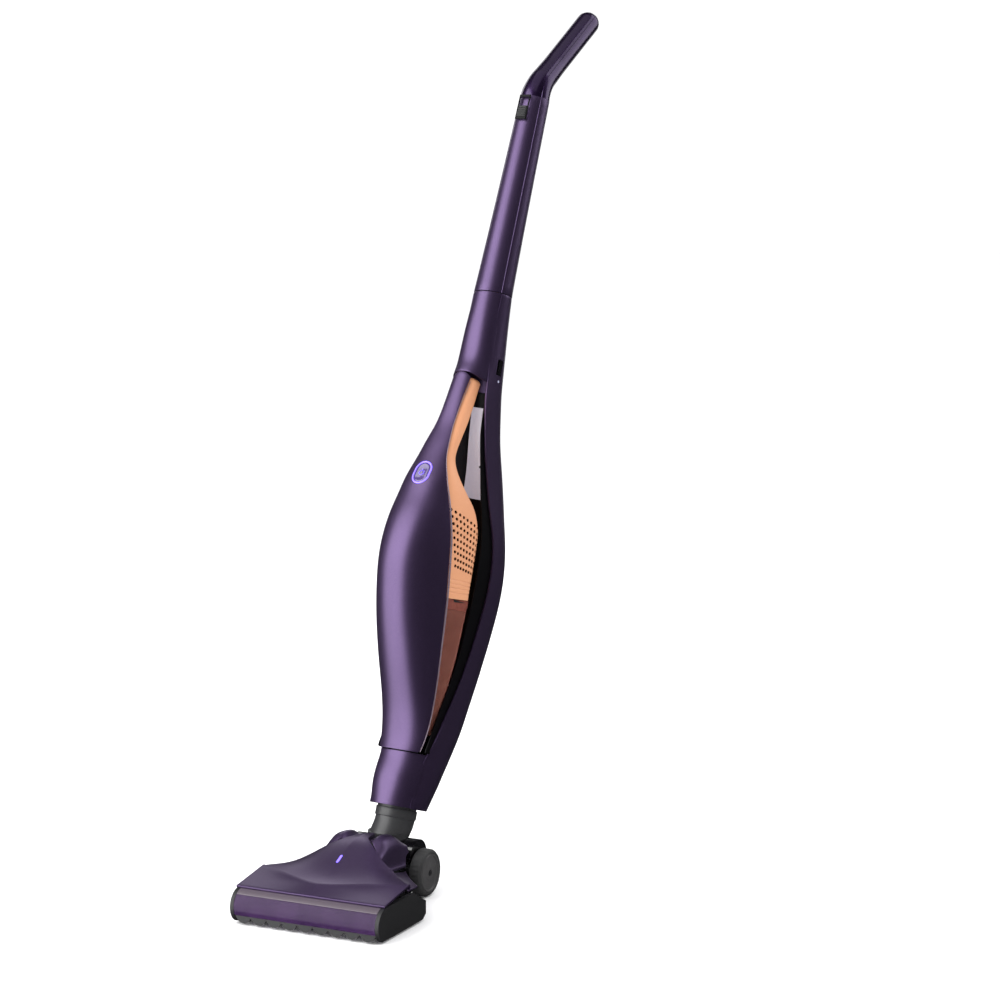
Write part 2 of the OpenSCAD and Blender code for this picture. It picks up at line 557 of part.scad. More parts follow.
module bin_bulkhead() color(black) stick() difference() {
    loft([bin_ring(bulkhead_z, 0, 12), bin_ring(bulkhead_z + bulkhead_t, 0, 12)]);
    on_motor(bulkhead_z - 1) cylinder(r = 15, h = 10, $fn = 48);
}
bin_low = up(0.05);
bin_t = 2;
bin_levels = levels(bin_low, bulkhead_z - 0.2, 9);
bin_inner_levels = levels(bin_low + bin_t, bulkhead_z - 0.2, 9);
inlet_r = 12;
module dust_bin() color(amber) stick() difference() {
    cup_loft([for (z = bin_levels) bin_ring(z, 0, 12)], [for (z = bin_inner_levels) bin_ring(z, bin_t, 12)]);
    translate([0, duct_y - 4, bin_low - 1]) cylinder(r = inlet_r + 0.1, h = bin_t + 2, $fn = 48);
}
inlet_len = 44;
module inlet_pipe() color(black) stick() translate([0, duct_y - 4, bin_low - 9]) difference() {
    union() {
        cylinder(r = inlet_r, h = inlet_len, $fn = 48);
        cylinder(r = inlet_r + 5, h = 3, $fn = 48);
    }
    translate([0, 0, -1]) cylinder(r = inlet_r - 2, h = inlet_len + 2, $fn = 48);
}
flap_z = bin_low - 9 + inlet_len;
flap_pin_r = 1.4;
flap_hinge_y = inlet_r + 2.5;
module inlet_flap() color(grey) stick() translate([0, duct_y - 4, flap_z + 0.4]) union() {
    cylinder(r = inlet_r - 0.5, h = 1.6, $fn = 48);
    translate([-6, 0, 0.2]) cube([12, flap_hinge_y, 1.2]);
    along_x(-7, 7, flap_pin_r, flap_hinge_y, 1);
}
filter_low = up(0.24);
filter_y = -30;
module filter_cone() color([0.92, 0.92, 0.90]) stick() translate([0, filter_y, filter_low]) difference() {
    cylinder(r1 = 20, r2 = 31, h = bulkhead_z - filter_low - 6, $fn = 48);
    translate([0, 0, 4]) cylinder(r1 = 14, r2 = 27, h = bulkhead_z - filter_low, $fn = 48);
}
module filter_frame() color(black) stick() translate([0, filter_y, bulkhead_z - 6]) difference() {
    cylinder(r = 34, h = 5.6, $fn = 64);
    translate([0, 0, -1]) cylinder(r = 27.5, h = 8, $fn = 64);
}
cell_r = 9.1;
cell_len = 65;
cell_z = up(0.44);
module battery_cells() color([0.25, 0.45, 0.75]) stick() for (i = [-1 : 1], j = [0 : 1])
    translate([i * (2 * cell_r + 0.6), -56 - j * (2 * cell_r + 0.6), cell_z]) cylinder(r = cell_r, h = cell_len, $fn = 32);
module circuit_board() color([0.1, 0.35, 0.2]) stick() translate([-18, -62, up(0.59)]) rotate([8, 0, 0]) cube([36, 1.6, 46]);

// ---- Floor head ----
half_head = head_w / 2;
cap_t = 5;
inner_half = half_head - cap_t;
sole_t = 3;
wheel_in = 45;
axle_r = 4;
housing_out = wheel_in - 1;
housing_r = 23;
roller_y = pivot_y - roller_reach;
roller_r = roller_d / 2;
roller_z = roller_r + 3.5;
chamber_r = roller_r + 2;
shell_r = chamber_r + 2;
cover_t = 2.4;
cover_front = roller_y - 6;
cover_low = roller_z + shell_r + 0.6 + cover_t;
ear_x = 29;
ear_y = 8;
ear_rise = 6;
ear_in = knuckle_half + 1;
ear_out = wheel_in - 1.5;
ear_back = pivot_y - housing_r - 2;
notch_y = 30;
flank_y = -42;
hump_w = 63;
// Rear edge of the cover, by distance from the middle
function cover_back(x) = x < ear_in ? notch_y : x <= ear_out ? ear_back
    : mix(wheel_y - wheel_d / 2 - 3, flank_y, pow(max(0, (x - ear_out - 1) / (half_head - ear_out - 1)), 0.8));
function ease(t) = let (c = min(1, max(0, t))) c * c * (3 - 2 * c);
// The front edge rises to a ridge that curves back towards the corners, then the hump climbs to the rear
ridge_rise = 10;
side_drop = 10.5;
function ridge_y(x) = cover_front + 20 + 40 * pow(x / 100, 1.3);
function cover_top(x, y) =
    let (ridge = ridge_y(x),
         shelf = cover_low + ridge_rise * min(1, max(0, (y - cover_front) / (ridge - cover_front))),
         side = shelf - side_drop * ease((y - ridge - 6) / 70) * x / half_head,
         crown = (hump_z - cover_low - ridge_rise) * ease((y - cover_front - 20.5) / 104) * (1 - 0.2 * ease((y - 2) / 50)),
         fall = exp(-pow(x / hump_w, 3.2)), flare = 0.34 * (1 - x / half_head),
         ear = ear_rise * exp(-pow((x - ear_x) / 10, 2) - pow((y - ear_y) / 16, 2)))
    side + crown * (fall + flare * (1 - fall)) + ear;
cover_cols = concat([-1, -0.9, -0.78, -0.66, -0.55],
    [-(ear_out + 1) / half_head, -ear_out / half_head, -0.39, -0.35, -ear_in / half_head, -(ear_in - 0.5) / half_head, -0.17, -0.08, 0]);
cover_x = concat([for (c = cover_cols) c * half_head], [for (i = [len(cover_cols) - 2 : -1 : 0]) -cover_cols[i] * half_head]);
cover_rows = 12;
ridge_rows = 2;
function cover_y(x, j) = j <= ridge_rows ? mix(cover_front, ridge_y(x), j / ridge_rows)
    : mix(ridge_y(x), cover_back(x), (j - ridge_rows) / (cover_rows - ridge_rows));
// Shell over a grid: columns across, rows from front to rear, a top face and an underside
module head_cover() color(plum) {
    nx = len(cover_x);
    ny = cover_rows + 1;
    top = [for (x = cover_x, j = [0 : cover_rows]) let (y = cover_y(abs(x), j)) [x, y, cover_top(abs(x), y)]];
    low = [for (p = top) [p[0], p[1], p[2] - cover_t]];
    k = nx * ny;
    skin = [for (i = [0 : nx - 2], j = [0 : ny - 2]) each let (a = i * ny + j, b = a + ny) [[a, b + 1, b], [a, a + 1, b + 1]]];
    under = [for (f = skin) [f[2] + k, f[1] + k, f[0] + k]];
    front_edge = [for (i = [0 : nx - 2]) each let (a = i * ny, b = a + ny) [[a, b, b + k], [a, b + k, a + k]]];
    rear_edge = [for (i = [0 : nx - 2]) each let (a = i * ny + ny - 1, b = a + ny) [[a, b + k, b], [a, a + k, b + k]]];
    left_edge = [for (j = [0 : ny - 2]) each [[j, j + k, j + 1 + k], [j, j + 1 + k, j + 1]]];
    right_edge = [for (j = [0 : ny - 2]) each let (a = (nx - 1) * ny + j) [[a, a + 1 + k, a + k], [a, a + 1, a + 1 + k]]];
    difference() {
        polyhedron(concat(top, low), concat(skin, under, front_edge, rear_edge, left_edge, right_edge));
        light_block(0.15);
    }
}

plate_t = 4;
plate_front = roller_y + shell_r + 1;
waist_half = 46;
duct_half = 17;
duct_top_z = 36;
module base_plate() color(black) difference() {
    union() {
        translate([-half_head + cap_t, plate_front, sole_t]) cube([head_w - 2 * cap_t, flank_y - plate_front, plate_t]);
        translate([-waist_half + 2, flank_y - 1, sole_t]) cube([2 * waist_half - 4, 50 - flank_y + 1, plate_t]);
        both_sides() translate([half_head - cap_t - 3, plate_front, sole_t]) cube([3, flank_y - plate_front, 22]);
        for (x = [-1, 1], y = [flank_y - 10, 20]) translate([x * 38, y, sole_t]) cylinder(r = 4, h = 18, $fn = 32);
    }
    translate([-duct_half, plate_front - 1, sole_t - 1]) cube([2 * duct_half, 14, plate_t + 2]);
    for (x = [-1, 1], y = [flank_y - 10, 20]) translate([x * 38, y, sole_t - 1]) cylinder(r = 1.5, h = 12, $fn = 24);
}
// Arc wall about the roller's axis between two angles, measured from the rear through the top
module arc_wall(x0, x1, r0, r1, a0, a1) translate([x0, roller_y, roller_z]) rotate([90, 0, 90]) linear_extrude(x1 - x0)
    intersection() {
        difference() {
            circle(r = r1, $fn = 96);
            circle(r = r0, $fn = 96);
        }
        polygon(concat([[0, 0]], [for (i = [0 : 6]) let (a = mix(a0, a1, i / 6)) 2 * r1 * [cos(a), sin(a)]]));
    }
module head_chamber() color(black) difference() {
    arc_wall(drive_x + belt_w + 1.5, inner_half, chamber_r, shell_r, -32, 92);
    translate([-duct_half, roller_y + 5, roller_z - 12]) cube([2 * duct_half, shell_r, 22]);
}
module roller_window() color([0.27, 0.19, 0.31, 0.75]) arc_wall(-inner_half, inner_half, chamber_r, shell_r, 93, 205);
// Scalloped lower edge in front of the roller
comb_lobes = 9;
comb_t = 2.4;
comb_top = roller_z - 8.5;
comb_y = roller_y - sqrt(pow(shell_r, 2) - pow(roller_z - comb_top, 2)) - 0.4;
lobe_r = (inner_half - 1) / comb_lobes;
comb_set = 1.8;
module bumper_comb() color(black) translate([0, comb_y + comb_t + comb_set, 0]) rotate([90, 0, 0]) linear_extrude(comb_t) union() {
    translate([-inner_half + 1, 9]) square([2 * inner_half - 2, comb_top - 9]);
    for (i = [0 : comb_lobes - 1]) translate([-inner_half + 1 + lobe_r * (2 * i + 1), 2.2]) intersection() {
        translate([0, lobe_r]) circle(r = lobe_r, $fn = 48);
        translate([-lobe_r, 0]) square([2 * lobe_r, 7]);
    }
}
// Side cap: a rounded front about the roller and a sloping rear
cap_rear = pivot_y - 91;
cap_top = cover_low - cover_t - 0.4;
cap_low = 2.4;
module cap_outline() intersection() {
    union() {
        translate([roller_y, roller_z]) circle(r = shell_r + 0.4, $fn = 96);
        polygon([[roller_y, cap_low], [cap_rear - 8, cap_low], [cap_rear, 8], [cap_rear, 24], [flank_y - 12, cap_top],
                 [roller_y, cap_top]]);
    }
    translate([roller_y - 2 * shell_r, cap_low]) square([roller_reach, cap_top - cap_low]);
}
bush_r = 7;
journal_r = 4;
module side_cap() translate([inner_half, 0, 0]) rotate([90, 0, 90]) linear_extrude(cap_t) cap_outline();
module side_cap_right() color(black) side_cap();
module side_cap_left() color(black) mirror([1, 0, 0]) side_cap();
module suction_duct() color(grey) difference() {
    translate([-duct_half, plate_front + 1, sole_t + plate_t + 0.2]) cube([2 * duct_half, pivot_y - knuckle_r - plate_front - 3, duct_top_z - sole_t - plate_t]);
    translate([-duct_half + 2, plate_front, sole_t + plate_t + 2.2]) cube([2 * duct_half - 4, 200, duct_top_z - sole_t - plate_t - 4]);
}
drive_x = -inner_half + 9;
belt_w = 8;
pulley_big = 10;
pulley_small = 6;
belt_reach = 44;
motor_drive_y = roller_y + belt_reach;
belt_t = 1.6;
module brush_motor() color(steel) along_x(drive_x + belt_w + 3, -duct_half - 6, 14, motor_drive_y, roller_z + 2);
module motor_pulley() color(brass_tone) difference() {
    along_x(drive_x, drive_x + belt_w, pulley_small, motor_drive_y, roller_z + 2);
    along_x(drive_x - 1, drive_x + 2, 2, motor_drive_y, roller_z + 2);
}
module belt_outline(extra) hull() {
    translate([roller_y, roller_z]) circle(r = pulley_big + extra, $fn = 32);
    translate([motor_drive_y, roller_z + 2]) circle(r = pulley_small + extra, $fn = 32);
}
module drive_belt() color(black) translate([drive_x + 0.5, 0, 0]) rotate([90, 0, 90]) linear_extrude(belt_w - 1) difference() {
    belt_outline(0.35 + belt_t);
    belt_outline(0.35);
}
core_r = 11;
bush_t = 5;
roller_half = inner_half - 3 - bush_t - 0.5;
module roller_core() color(grey) union() {
    along_x(drive_x + belt_w + 1, roller_half, core_r, roller_y, roller_z);
    along_x(drive_x, drive_x + belt_w + 1, pulley_big, roller_y, roller_z);
    along_x(-inner_half + 2, inner_half - 2, journal_r, roller_y, roller_z);
}
bristle_t = 3.4;
bristle_rows = 4;
module roller_bristles() color(lilac) translate([drive_x + belt_w + 4, roller_y, roller_z]) rotate([0, 90, 0])
    for (k = [0 : bristle_rows - 1]) rotate([0, 0, k * 360 / bristle_rows])
        linear_extrude(roller_half - drive_x - belt_w - 8, twist = 200, slices = 28)
            translate([core_r + 0.05, -bristle_t / 2]) square([roller_r - core_r, bristle_t]);
module roller_bushes() color(brass_tone) both_sides() difference() {
    along_x(inner_half - bush_t, inner_half, bush_r, roller_y, roller_z);
    along_x(inner_half - bush_t - 1, inner_half + 1, journal_r + run_fit, roller_y, roller_z);
}
module pivot_housings() color(black) both_sides() difference() {
    union() {
        along_x(ear_in, housing_out, housing_r, pivot_y, pivot_z);
        translate([ear_in, 44, sole_t + 5]) cube([housing_out - ear_in, 42, pivot_z - sole_t - 5]);
        translate([ear_in, 20, sole_t + 4.2]) cube([housing_out - ear_in, 26, 20]);
    }
    along_x(ear_in - 1, housing_out + 1, pin_r, pivot_y, pivot_z);
    along_x(ear_in - 1, housing_out + 1, axle_r, wheel_y, wheel_d / 2);
    translate([38, 20, 0]) cylinder(r = 4.2, h = 22, $fn = 32);
}
module pivot_pins() color(steel) both_sides() along_x(16, housing_out, pin_r, pivot_y, pivot_z);
module wheel_axles() color(steel) both_sides() along_x(ear_in, wheel_in + wheel_t - 3, axle_r, wheel_y, wheel_d / 2);
module wheel() translate([wheel_in, wheel_y, wheel_d / 2]) rotate([90, 0, 90]) difference() {
    rotate_extrude($fn = 96) polygon([
        [axle_r + run_fit + 0.03, 0], [wheel_d / 2 - 3, 0], [wheel_d / 2, 3], [wheel_d / 2, wheel_t - 4],
        [wheel_d / 2 - 4, wheel_t], [wheel_d / 2 - 8, wheel_t], [wheel_d / 2 - 9, wheel_t - 2.5],
        [8, wheel_t - 1], [axle_r + run_fit + 0.03, wheel_t - 1]]);
}
module wheel_right() color(grey) wheel();
module wheel_left() color(grey) mirror([1, 0, 0]) wheel();
light_y = -55;
light_slope = atan((cover_top(0, light_y + 6) - cover_top(0, light_y - 6)) / 12);
module light_block(grow) translate([0, light_y, cover_top(0, light_y)]) rotate([light_slope, 0, 0])
    translate([-1.5 - grow, -7 - grow, -cover_t - 1.2]) cube([3 + 2 * grow, 14 + 2 * grow, cover_t + 1.5 + 2 * grow]);
module head_light() color(violet) light_block(0);
module sole_pads() color(grey) union() {
    translate([-34, -14, 0]) cube([68, 28, sole_t]);
    both_sides() translate([24, plate_front + 2, 0]) cube([inner_half - 34, 8, sole_t]);
}

handle_tube();
handle_grip();
switch_bezel();
power_slider();
switch_module();
handle_wiring();
shoulder_shell();
release_button();
status_light();
spine_shell();
spine_liner();
neck_collar();
neck_duct();
duct_seal();
charge_contacts();
frame_screws();
elbow_pipe();
swivel_ring();
elbow_knuckle();
front_cover();
trim_left();
trim_right();
ring_light();
power_button();
motor_housing();
vent_grille_left();
vent_grille_right();
fan_motor();
motor_shaft();
impeller();
fan_shroud();
bin_bulkhead();
filter_cone();
filter_frame();
dust_bin();
inlet_pipe();
inlet_flap();
battery_cells();
circuit_board();
head_cover();
base_plate();
head_chamber();
roller_window();
bumper_comb();
side_cap_left();
side_cap_right();
suction_duct();
brush_motor();
motor_pulley();
drive_belt();
roller_core();
roller_bristles();
roller_bushes();
pivot_housings();
pivot_pins();
wheel_left();
wheel_right();
wheel_axles();
head_light();
sole_pads();
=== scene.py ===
import json
import math

import bmesh
import bpy
import numpy as np
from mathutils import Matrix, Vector


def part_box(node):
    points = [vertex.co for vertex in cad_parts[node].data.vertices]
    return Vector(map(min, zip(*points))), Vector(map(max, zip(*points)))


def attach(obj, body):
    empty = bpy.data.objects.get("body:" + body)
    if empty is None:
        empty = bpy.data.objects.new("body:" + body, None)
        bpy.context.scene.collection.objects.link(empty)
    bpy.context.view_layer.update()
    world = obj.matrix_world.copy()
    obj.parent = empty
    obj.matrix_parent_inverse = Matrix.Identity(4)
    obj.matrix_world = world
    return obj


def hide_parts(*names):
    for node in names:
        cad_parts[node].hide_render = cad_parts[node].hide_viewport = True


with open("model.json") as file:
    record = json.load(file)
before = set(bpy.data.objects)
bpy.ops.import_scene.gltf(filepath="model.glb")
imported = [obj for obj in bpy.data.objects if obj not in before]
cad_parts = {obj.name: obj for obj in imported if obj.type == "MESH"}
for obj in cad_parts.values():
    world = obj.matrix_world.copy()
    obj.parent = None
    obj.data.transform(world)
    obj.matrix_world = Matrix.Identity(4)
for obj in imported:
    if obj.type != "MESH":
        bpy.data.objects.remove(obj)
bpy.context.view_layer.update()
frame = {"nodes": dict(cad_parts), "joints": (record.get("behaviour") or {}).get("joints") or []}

MM = 0.001

# ---------------------------------------------------------------- the stick's own frame, from the joints
# Its origin is the elbow's pivot; x runs across, y to the rear and z up the stick, all in mm.
joint = {j["name"]: j for j in frame["joints"]}
pivot = Vector(joint["neck_swivel"]["pos_m"])
across = Vector(joint["hand_unit_tip"]["axis"]).normalized()
along = Vector(joint["fan_spin"]["axis"]).normalized()
rearward = along.cross(across)


def place(p):
    """A point of the stick's frame (mm), placed in the scene (m)."""
    return pivot + (across * p[0] + rearward * p[1] + along * p[2]) * MM


def heights(node):
    zs = [(v.co - pivot).dot(along) / MM for v in frame["nodes"][node].data.vertices]
    return min(zs), max(zs)


def widths(node):
    xs = [(v.co - pivot).dot(across) / MM for v in frame["nodes"][node].data.vertices]
    return min(xs), max(xs)


neck_z, collar_z = heights("neck_collar")
unit_top = heights("spine_shell")[1]
tube_z, tube_top = heights("handle_tube")
tube_len = tube_top - tube_z
spine_w = widths("spine_shell")[1]
half_w = 52.0  # half of the body's width
belly = 104.0  # how far the front cover stands in front of the pivot
spine_back = 106.0  # how far the spine stands behind it
tube_r_low, tube_r_top = widths("handle_tube")[1], 20.0


def mix(a, b, t):
    return a + (b - a) * t


def up(t):
    """Height at a share of the hand unit's length, from the neck's collar."""
    return mix(collar_z, unit_top, t)


def ease(t):
    c = min(1.0, max(0.0, t))
    return c * c * (3 - 2 * c)


def spow(v, e):
    """A power that keeps the sign."""
    return math.copysign(abs(v) ** e, v)


class Line:
    """A smooth line through stations (position, value), softened so that gloss runs over it evenly."""

    def __init__(self, stations, soft=7.0, scale=1.0):
        z = np.array([s[0] for s in stations], float)
        v = np.array([s[1] for s in stations], float) * scale
        self.z = np.linspace(z[0], z[-1], int((z[-1] - z[0]) / 1.0) + 2)
        m = np.empty(len(z))
        for i in range(len(z)):
            a, b = max(i - 1, 0), min(i + 1, len(z) - 1)
            m[i] = (v[b] - v[a]) / (z[b] - z[a])
        k = np.clip(np.searchsorted(z, self.z, side="right") - 1, 0, len(z) - 2)
        h = z[k + 1] - z[k]
        t = (self.z - z[k]) / h
        raw = (v[k] * (2 * t**3 - 3 * t**2 + 1) + m[k] * h * (t**3 - 2 * t**2 + t)
               + v[k + 1] * (3 * t**2 - 2 * t**3) + m[k + 1] * h * (t**3 - t**2))
        n = int(soft * 3)
        lead = 2 * raw[0] - raw[n:0:-1]
        tail = 2 * raw[-1] - raw[-2:-n - 2:-1]
        kernel = np.exp(-0.5 * (np.arange(-n, n + 1) / soft) ** 2)
        kernel /= kernel.sum()
        self.v = np.convolve(np.concatenate([lead, raw, tail]), kernel, "valid")

    def __call__(self, z):
        return float(np.interp(z, self.z, self.v))


def on_unit(pairs, scale=1.0):
    return [(up(t), v * scale) for t, v in pairs]


unit_half = Line(on_unit([
    (0, half_w - 11.5), (.15, half_w - 7.5), (.25, half_w - 4.5), (.35, half_w - 2), (.51, half_w),
    (.61, half_w - 2),
    (.665, half_w - 6), (.715, half_w - 13), (.77, tube_r_low + 2), (.82, tube_r_low - .5),
    (.87, tube_r_low - 2.5),
    (.925, tube_r_low - 4.5), (1, tube_r_low - 6)]))
unit_front = Line([(up(0), -27), (up(.04), -25.5)] + on_unit([
    (.095, -.31), (.145, -.41), (.25, -.645), (.355, -.85), (.455, -.975), (.51, -1), (.56, -.98),
    (.61, -.925),
    (.665, -.83), (.715, -.76), (.77, -.655), (.82, -.565), (.87, -.475), (.925, -.4), (.975, -.335),
    (1, -.31)], belly))
unit_mid = Line(on_unit([
    (0, 8), (.04, 8), (.145, 2), (.25, -10), (.355, -16), (.51, -24), (.665, -32), (.715, -42), (.77, -50),
    (.82, -44),
    (.87, -34), (.925, -27), (.975, -20), (1, -16)]))
cover_span = Line(on_unit([
    (0, 48), (.05, 55), (.095, 61), (.155, 67), (.215, 72), (.27, 74), (.4, 75), (.52, 72), (.575, 69),
    (.65, 60),
    (.705, 54), (.757, 54), (.815, 44), (.87, 32), (.94, 34), (1, 43)]))
housing_back = Line(on_unit([
    (.4, 24), (.58, 22.5), (.63, 15), (.665, 3), (.69, -14), (.72, -30), (.755, -37), (.79, -38), (.835, -30),
    (.895, -17), (.95, -9), (1, -4)]), 4.0)
bin_back = Line(on_unit([(.045, 17), (.15, 20), (.25, 22), (.42, 24)]))
bin_half = Line(on_unit([(.045, spine_w - 9), (.15, spine_w - 5.5), (.25, half_w - 9), (.36, half_w - 6.5),
                         (.42, half_w - 6)]))
spine_sides = [(.15, spine_w - 1), (.35, spine_w), (.51, spine_w), (.62, spine_w - 4), (.725, spine_w - 9),
               (.82, spine_w - 12), (.92, spine_w - 13.5), (1, spine_w - 13.5)]
spine_half = Line(on_unit([(0, spine_w - 1.5)] + spine_sides))
liner_rim = Line(on_unit([
    (0, -13), (.06, -5), (.1, 0), (.16, 8), (.22, 16), (.3, 23), (.42, 27), (.58, 28), (.64, 24), (.69, 18),
    (.75, 12), (.81, 5),
    (.865, -2), (.92, -4), (1, -6)]))


def rise(t):
    """Height at a share of the shoulder, from the hand unit's top to the handle tube."""
    return mix(unit_top, tube_z, t)


# The rear band runs from the neck's lower rim to the handle tube: half width, rear, widest line, rim
band_half = Line([(neck_z, 36), (mix(neck_z, collar_z, .5), 39.5),
                  (collar_z, spine_w - 1.5)] + on_unit(spine_sides) + [
    (rise(.23), spine_w - 13.5), (rise(.55), tube_r_low + 1.5), (rise(1), tube_r_low)])
band_rear = Line([(neck_z, 38), (mix(neck_z, collar_z, .5), 49)] + on_unit([
    (0, .59), (.04, .65), (.145, .76), (.25, .88), (.355, .96), (.455, 1), (.56, .965), (.665, .86),
    (.77, .7),
    (.87, .51), (.975, .4), (1, .385)], spine_back) + [(rise(.35), 37), (rise(.7), 33),
                                                       (rise(1), 5 + tube_r_low)])
band_front = Line([(neck_z, -34), (mix(neck_z, collar_z, .55), -33.5), (collar_z, -27),
                   (unit_top, -.31 * belly),
                   (rise(.12), -27), (rise(.25), -24.5), (rise(.55), -23.5), (rise(1), 5 - tube_r_low)], 4.0)
band_mid = Line([(neck_z, 2)] + on_unit([
    (0, 22), (.15, 38), (.35, 45), (.51, 48), (.665, 42), (.77, 34), (.9, 20), (1, 9)]) + [(tube_z, 5)])
band_rim = Line([(neck_z, -15), (mix(neck_z, collar_z, .55), -11)] + on_unit([
    (0, -5), (.065, 6), (.115, 15), (.185, 28), (.255, 38), (.33, 46), (.42, 53), (.5, 55.5), (.585, 52),
    (.64, 43),
    (.685, 34), (.735, 26), (.81, 13), (.865, 5), (.915, -2), (.965, -8), (1, -9)]) + [(rise(.5), -9),
            (tube_z, -6.5)])
band_flat = Line([(neck_z, 0), (collar_z - 20, 0), (up(.06), 1), (up(.93), 1), (rise(.3), 0), (tube_z, 0)],
                 3.0)
band_power = Line([(neck_z, .85), (collar_z, .8), (up(.1), .667), (up(.92), .667), (rise(.2), .85),
                   (tube_z, 1.0)], 5.0)
front_power = 2 / 2.3  # the front's roundness: 1 is an ellipse, less is squarer


def unit_point(z, a, t=0.0):
    """A point on the hand unit's front at height z, a degrees round from its middle, t mm outwards."""
    a = math.radians(a)
    h, f, m = unit_half(z) - t, unit_front(z) + t, unit_mid(z)
    return h * spow(math.sin(a), front_power), m - (m - f) * spow(math.cos(a), front_power), z


def full_ring(z, half, front, rear, mid_f, mid_r, pf, pr, n):
    """Closed section: a front half and a rear half, anticlockwise seen from above."""
    ring = []
    for i in range(n):
        a = math.pi + math.pi * i / n
        ring.append((half * spow(math.cos(a), pf), mid_f + (mid_f - front) * spow(math.sin(a), pf), z))
    for i in range(n):
        a = math.pi * i / n
        ring.append((half * spow(math.cos(a), pr), mid_r + (rear - mid_r) * spow(math.sin(a), pr), z))
    return ring


# ---------------------------------------------------------------- mesh helpers
def make(name, verts, faces):
    mesh = bpy.data.meshes.new(name)
    mesh.from_pydata([tuple(v) for v in verts], [], faces)
    mesh.validate()
    obj = bpy.data.objects.new(name, mesh)
    bpy.context.scene.collection.objects.link(obj)
    return obj


def loft(name, rings, closed=True, caps=False, to=place):
    n = len(rings[0])
    verts = [to(p) for ring in rings for p in ring]
    faces = []
    for j in range(len(rings) - 1):
        for i in range(n if closed else n - 1):
            a, b = j * n + i, j * n + (i + 1) % n
            faces.append((a, b, b + n, a + n))
    if caps:
        faces.append(tuple(range(n - 1, -1, -1)))
        faces.append(tuple((len(rings) - 1) * n + i for i in range(n)))
    return make(name, verts, faces)


def settle(obj, angle=38):
    """Applies the object's modifiers to its mesh and smooths what isn't a corner."""
    graph = bpy.context.evaluated_depsgraph_get()
    mesh = bpy.data.meshes.new_from_object(obj.evaluated_get(graph))
    obj.modifiers.clear()
    obj.data = mesh
    mesh.shade_smooth()
    mesh.set_sharp_from_angle(angle=math.radians(angle))
    return obj


def subdivide(obj, levels=1):
    m = obj.modifiers.new("subdivide", "SUBSURF")
    m.levels = m.render_levels = levels


def thicken(obj, thickness, offset=-1.0):
    m = obj.modifiers.new("thicken", "SOLIDIFY")
    m.thickness = thickness * MM
    m.offset = offset
    m.use_even_offset = True


def bevel(obj, width, segments=2, angle=40):
    m = obj.modifiers.new("bevel", "BEVEL")
    m.width = width * MM
    m.segments = segments
    m.limit_method = "ANGLE"
    m.angle_limit = math.radians(angle)
    m.use_clamp_overlap = True


def carve(obj, cutter, mode="DIFFERENCE"):
    m = obj.modifiers.new("carve", "BOOLEAN")
    m.operation = mode
    m.object = cutter
    m.solver = "EXACT"
    settle(obj)
    bpy.data.objects.remove(cutter)


def shell(name, rings, closed=True, wall=2.2, edge=0.5, levels=1, to=place):
    obj = loft(name, rings, closed, to=to)
    if levels:
        subdivide(obj, levels)
    thicken(obj, wall)
    if edge:
        bevel(obj, edge)
    return settle(obj)


def face_outwards(obj):
    bm = bmesh.new()
    bm.from_mesh(obj.data)
    bmesh.ops.recalc_face_normals(bm, faces=bm.faces)
    bm.to_mesh(obj.data)
    bm.free()
    return obj


def lathe(name, profile, centre, axis, start=(0, 0, 1), n=96, wave=None):
    """Turns a closed profile of (radius, height) in mm about an axis through centre."""
    axis = Vector(axis).normalized()
    u = Vector(start) - axis * Vector(start).dot(axis)
    u.normalize()
    v = axis.cross(u)
    verts, faces = [], []
    k = len(profile)
    for i in range(n):
        a = 2 * math.pi * i / n
        outwards = u * math.cos(a) + v * math.sin(a)
        for j, (r, h) in enumerate(profile):
            reach = r + (wave(a, j) if wave else 0)
            verts.append(centre + (outwards * reach + axis * h) * MM)
    for i in range(n):
        for j in range(k):
            a, b = i * k + j, i * k + (j + 1) % k
            c, d = ((i + 1) % n) * k + (j + 1) % k, ((i + 1) % n) * k + j
            faces.append((a, b, c, d))
    obj = make(name, verts, faces)
    return face_outwards(obj)


def block(name, outline, depth, to):
    """Prism: outline points (u, v) mm, from 0 to depth along w; to() places (u, v, w)."""
    n = len(outline)
    verts = [to((u, v, 0)) for u, v in outline] + [to((u, v, depth)) for u, v in outline]
    faces = [tuple(range(n - 1, -1, -1)), tuple(range(n, 2 * n))]
    faces += [(i, (i + 1) % n, n + (i + 1) % n, n + i) for i in range(n)]
    obj = make(name, verts, faces)
    return face_outwards(obj)


def join(name, objs):
    """One object from several."""
    bm = bmesh.new()
    for o in objs:
        bm.from_mesh(o.data)
    mesh = bpy.data.meshes.new(name)
    bm.to_mesh(mesh)
    bm.free()
    for o in objs:
        bpy.data.objects.remove(o)
    out = bpy.data.objects.new(name, mesh)
    bpy.context.scene.collection.objects.link(out)
    return out


def finish_piece(obj, material, body, slot, *nodes):
    """Gives a piece its material and the body it rides on, and hides the CAD nodes it stands in for. The slot
    argument is not used.
    """
    obj.data.materials.clear()
    obj.data.materials.append(material)
    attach(obj, body)
    if nodes:
        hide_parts(*nodes)
    return obj


# ---------------------------------------------------------------- materials
def linear(*rgb):
    """An sRGB colour of 0 to 255 as the linear RGBA that shaders take."""
    shares = [c / 255 for c in rgb]
    return tuple(c / 12.92 if c <= 0.04045 else ((c + 0.055) / 1.055) ** 2.4 for c in shares) + (1.0,)


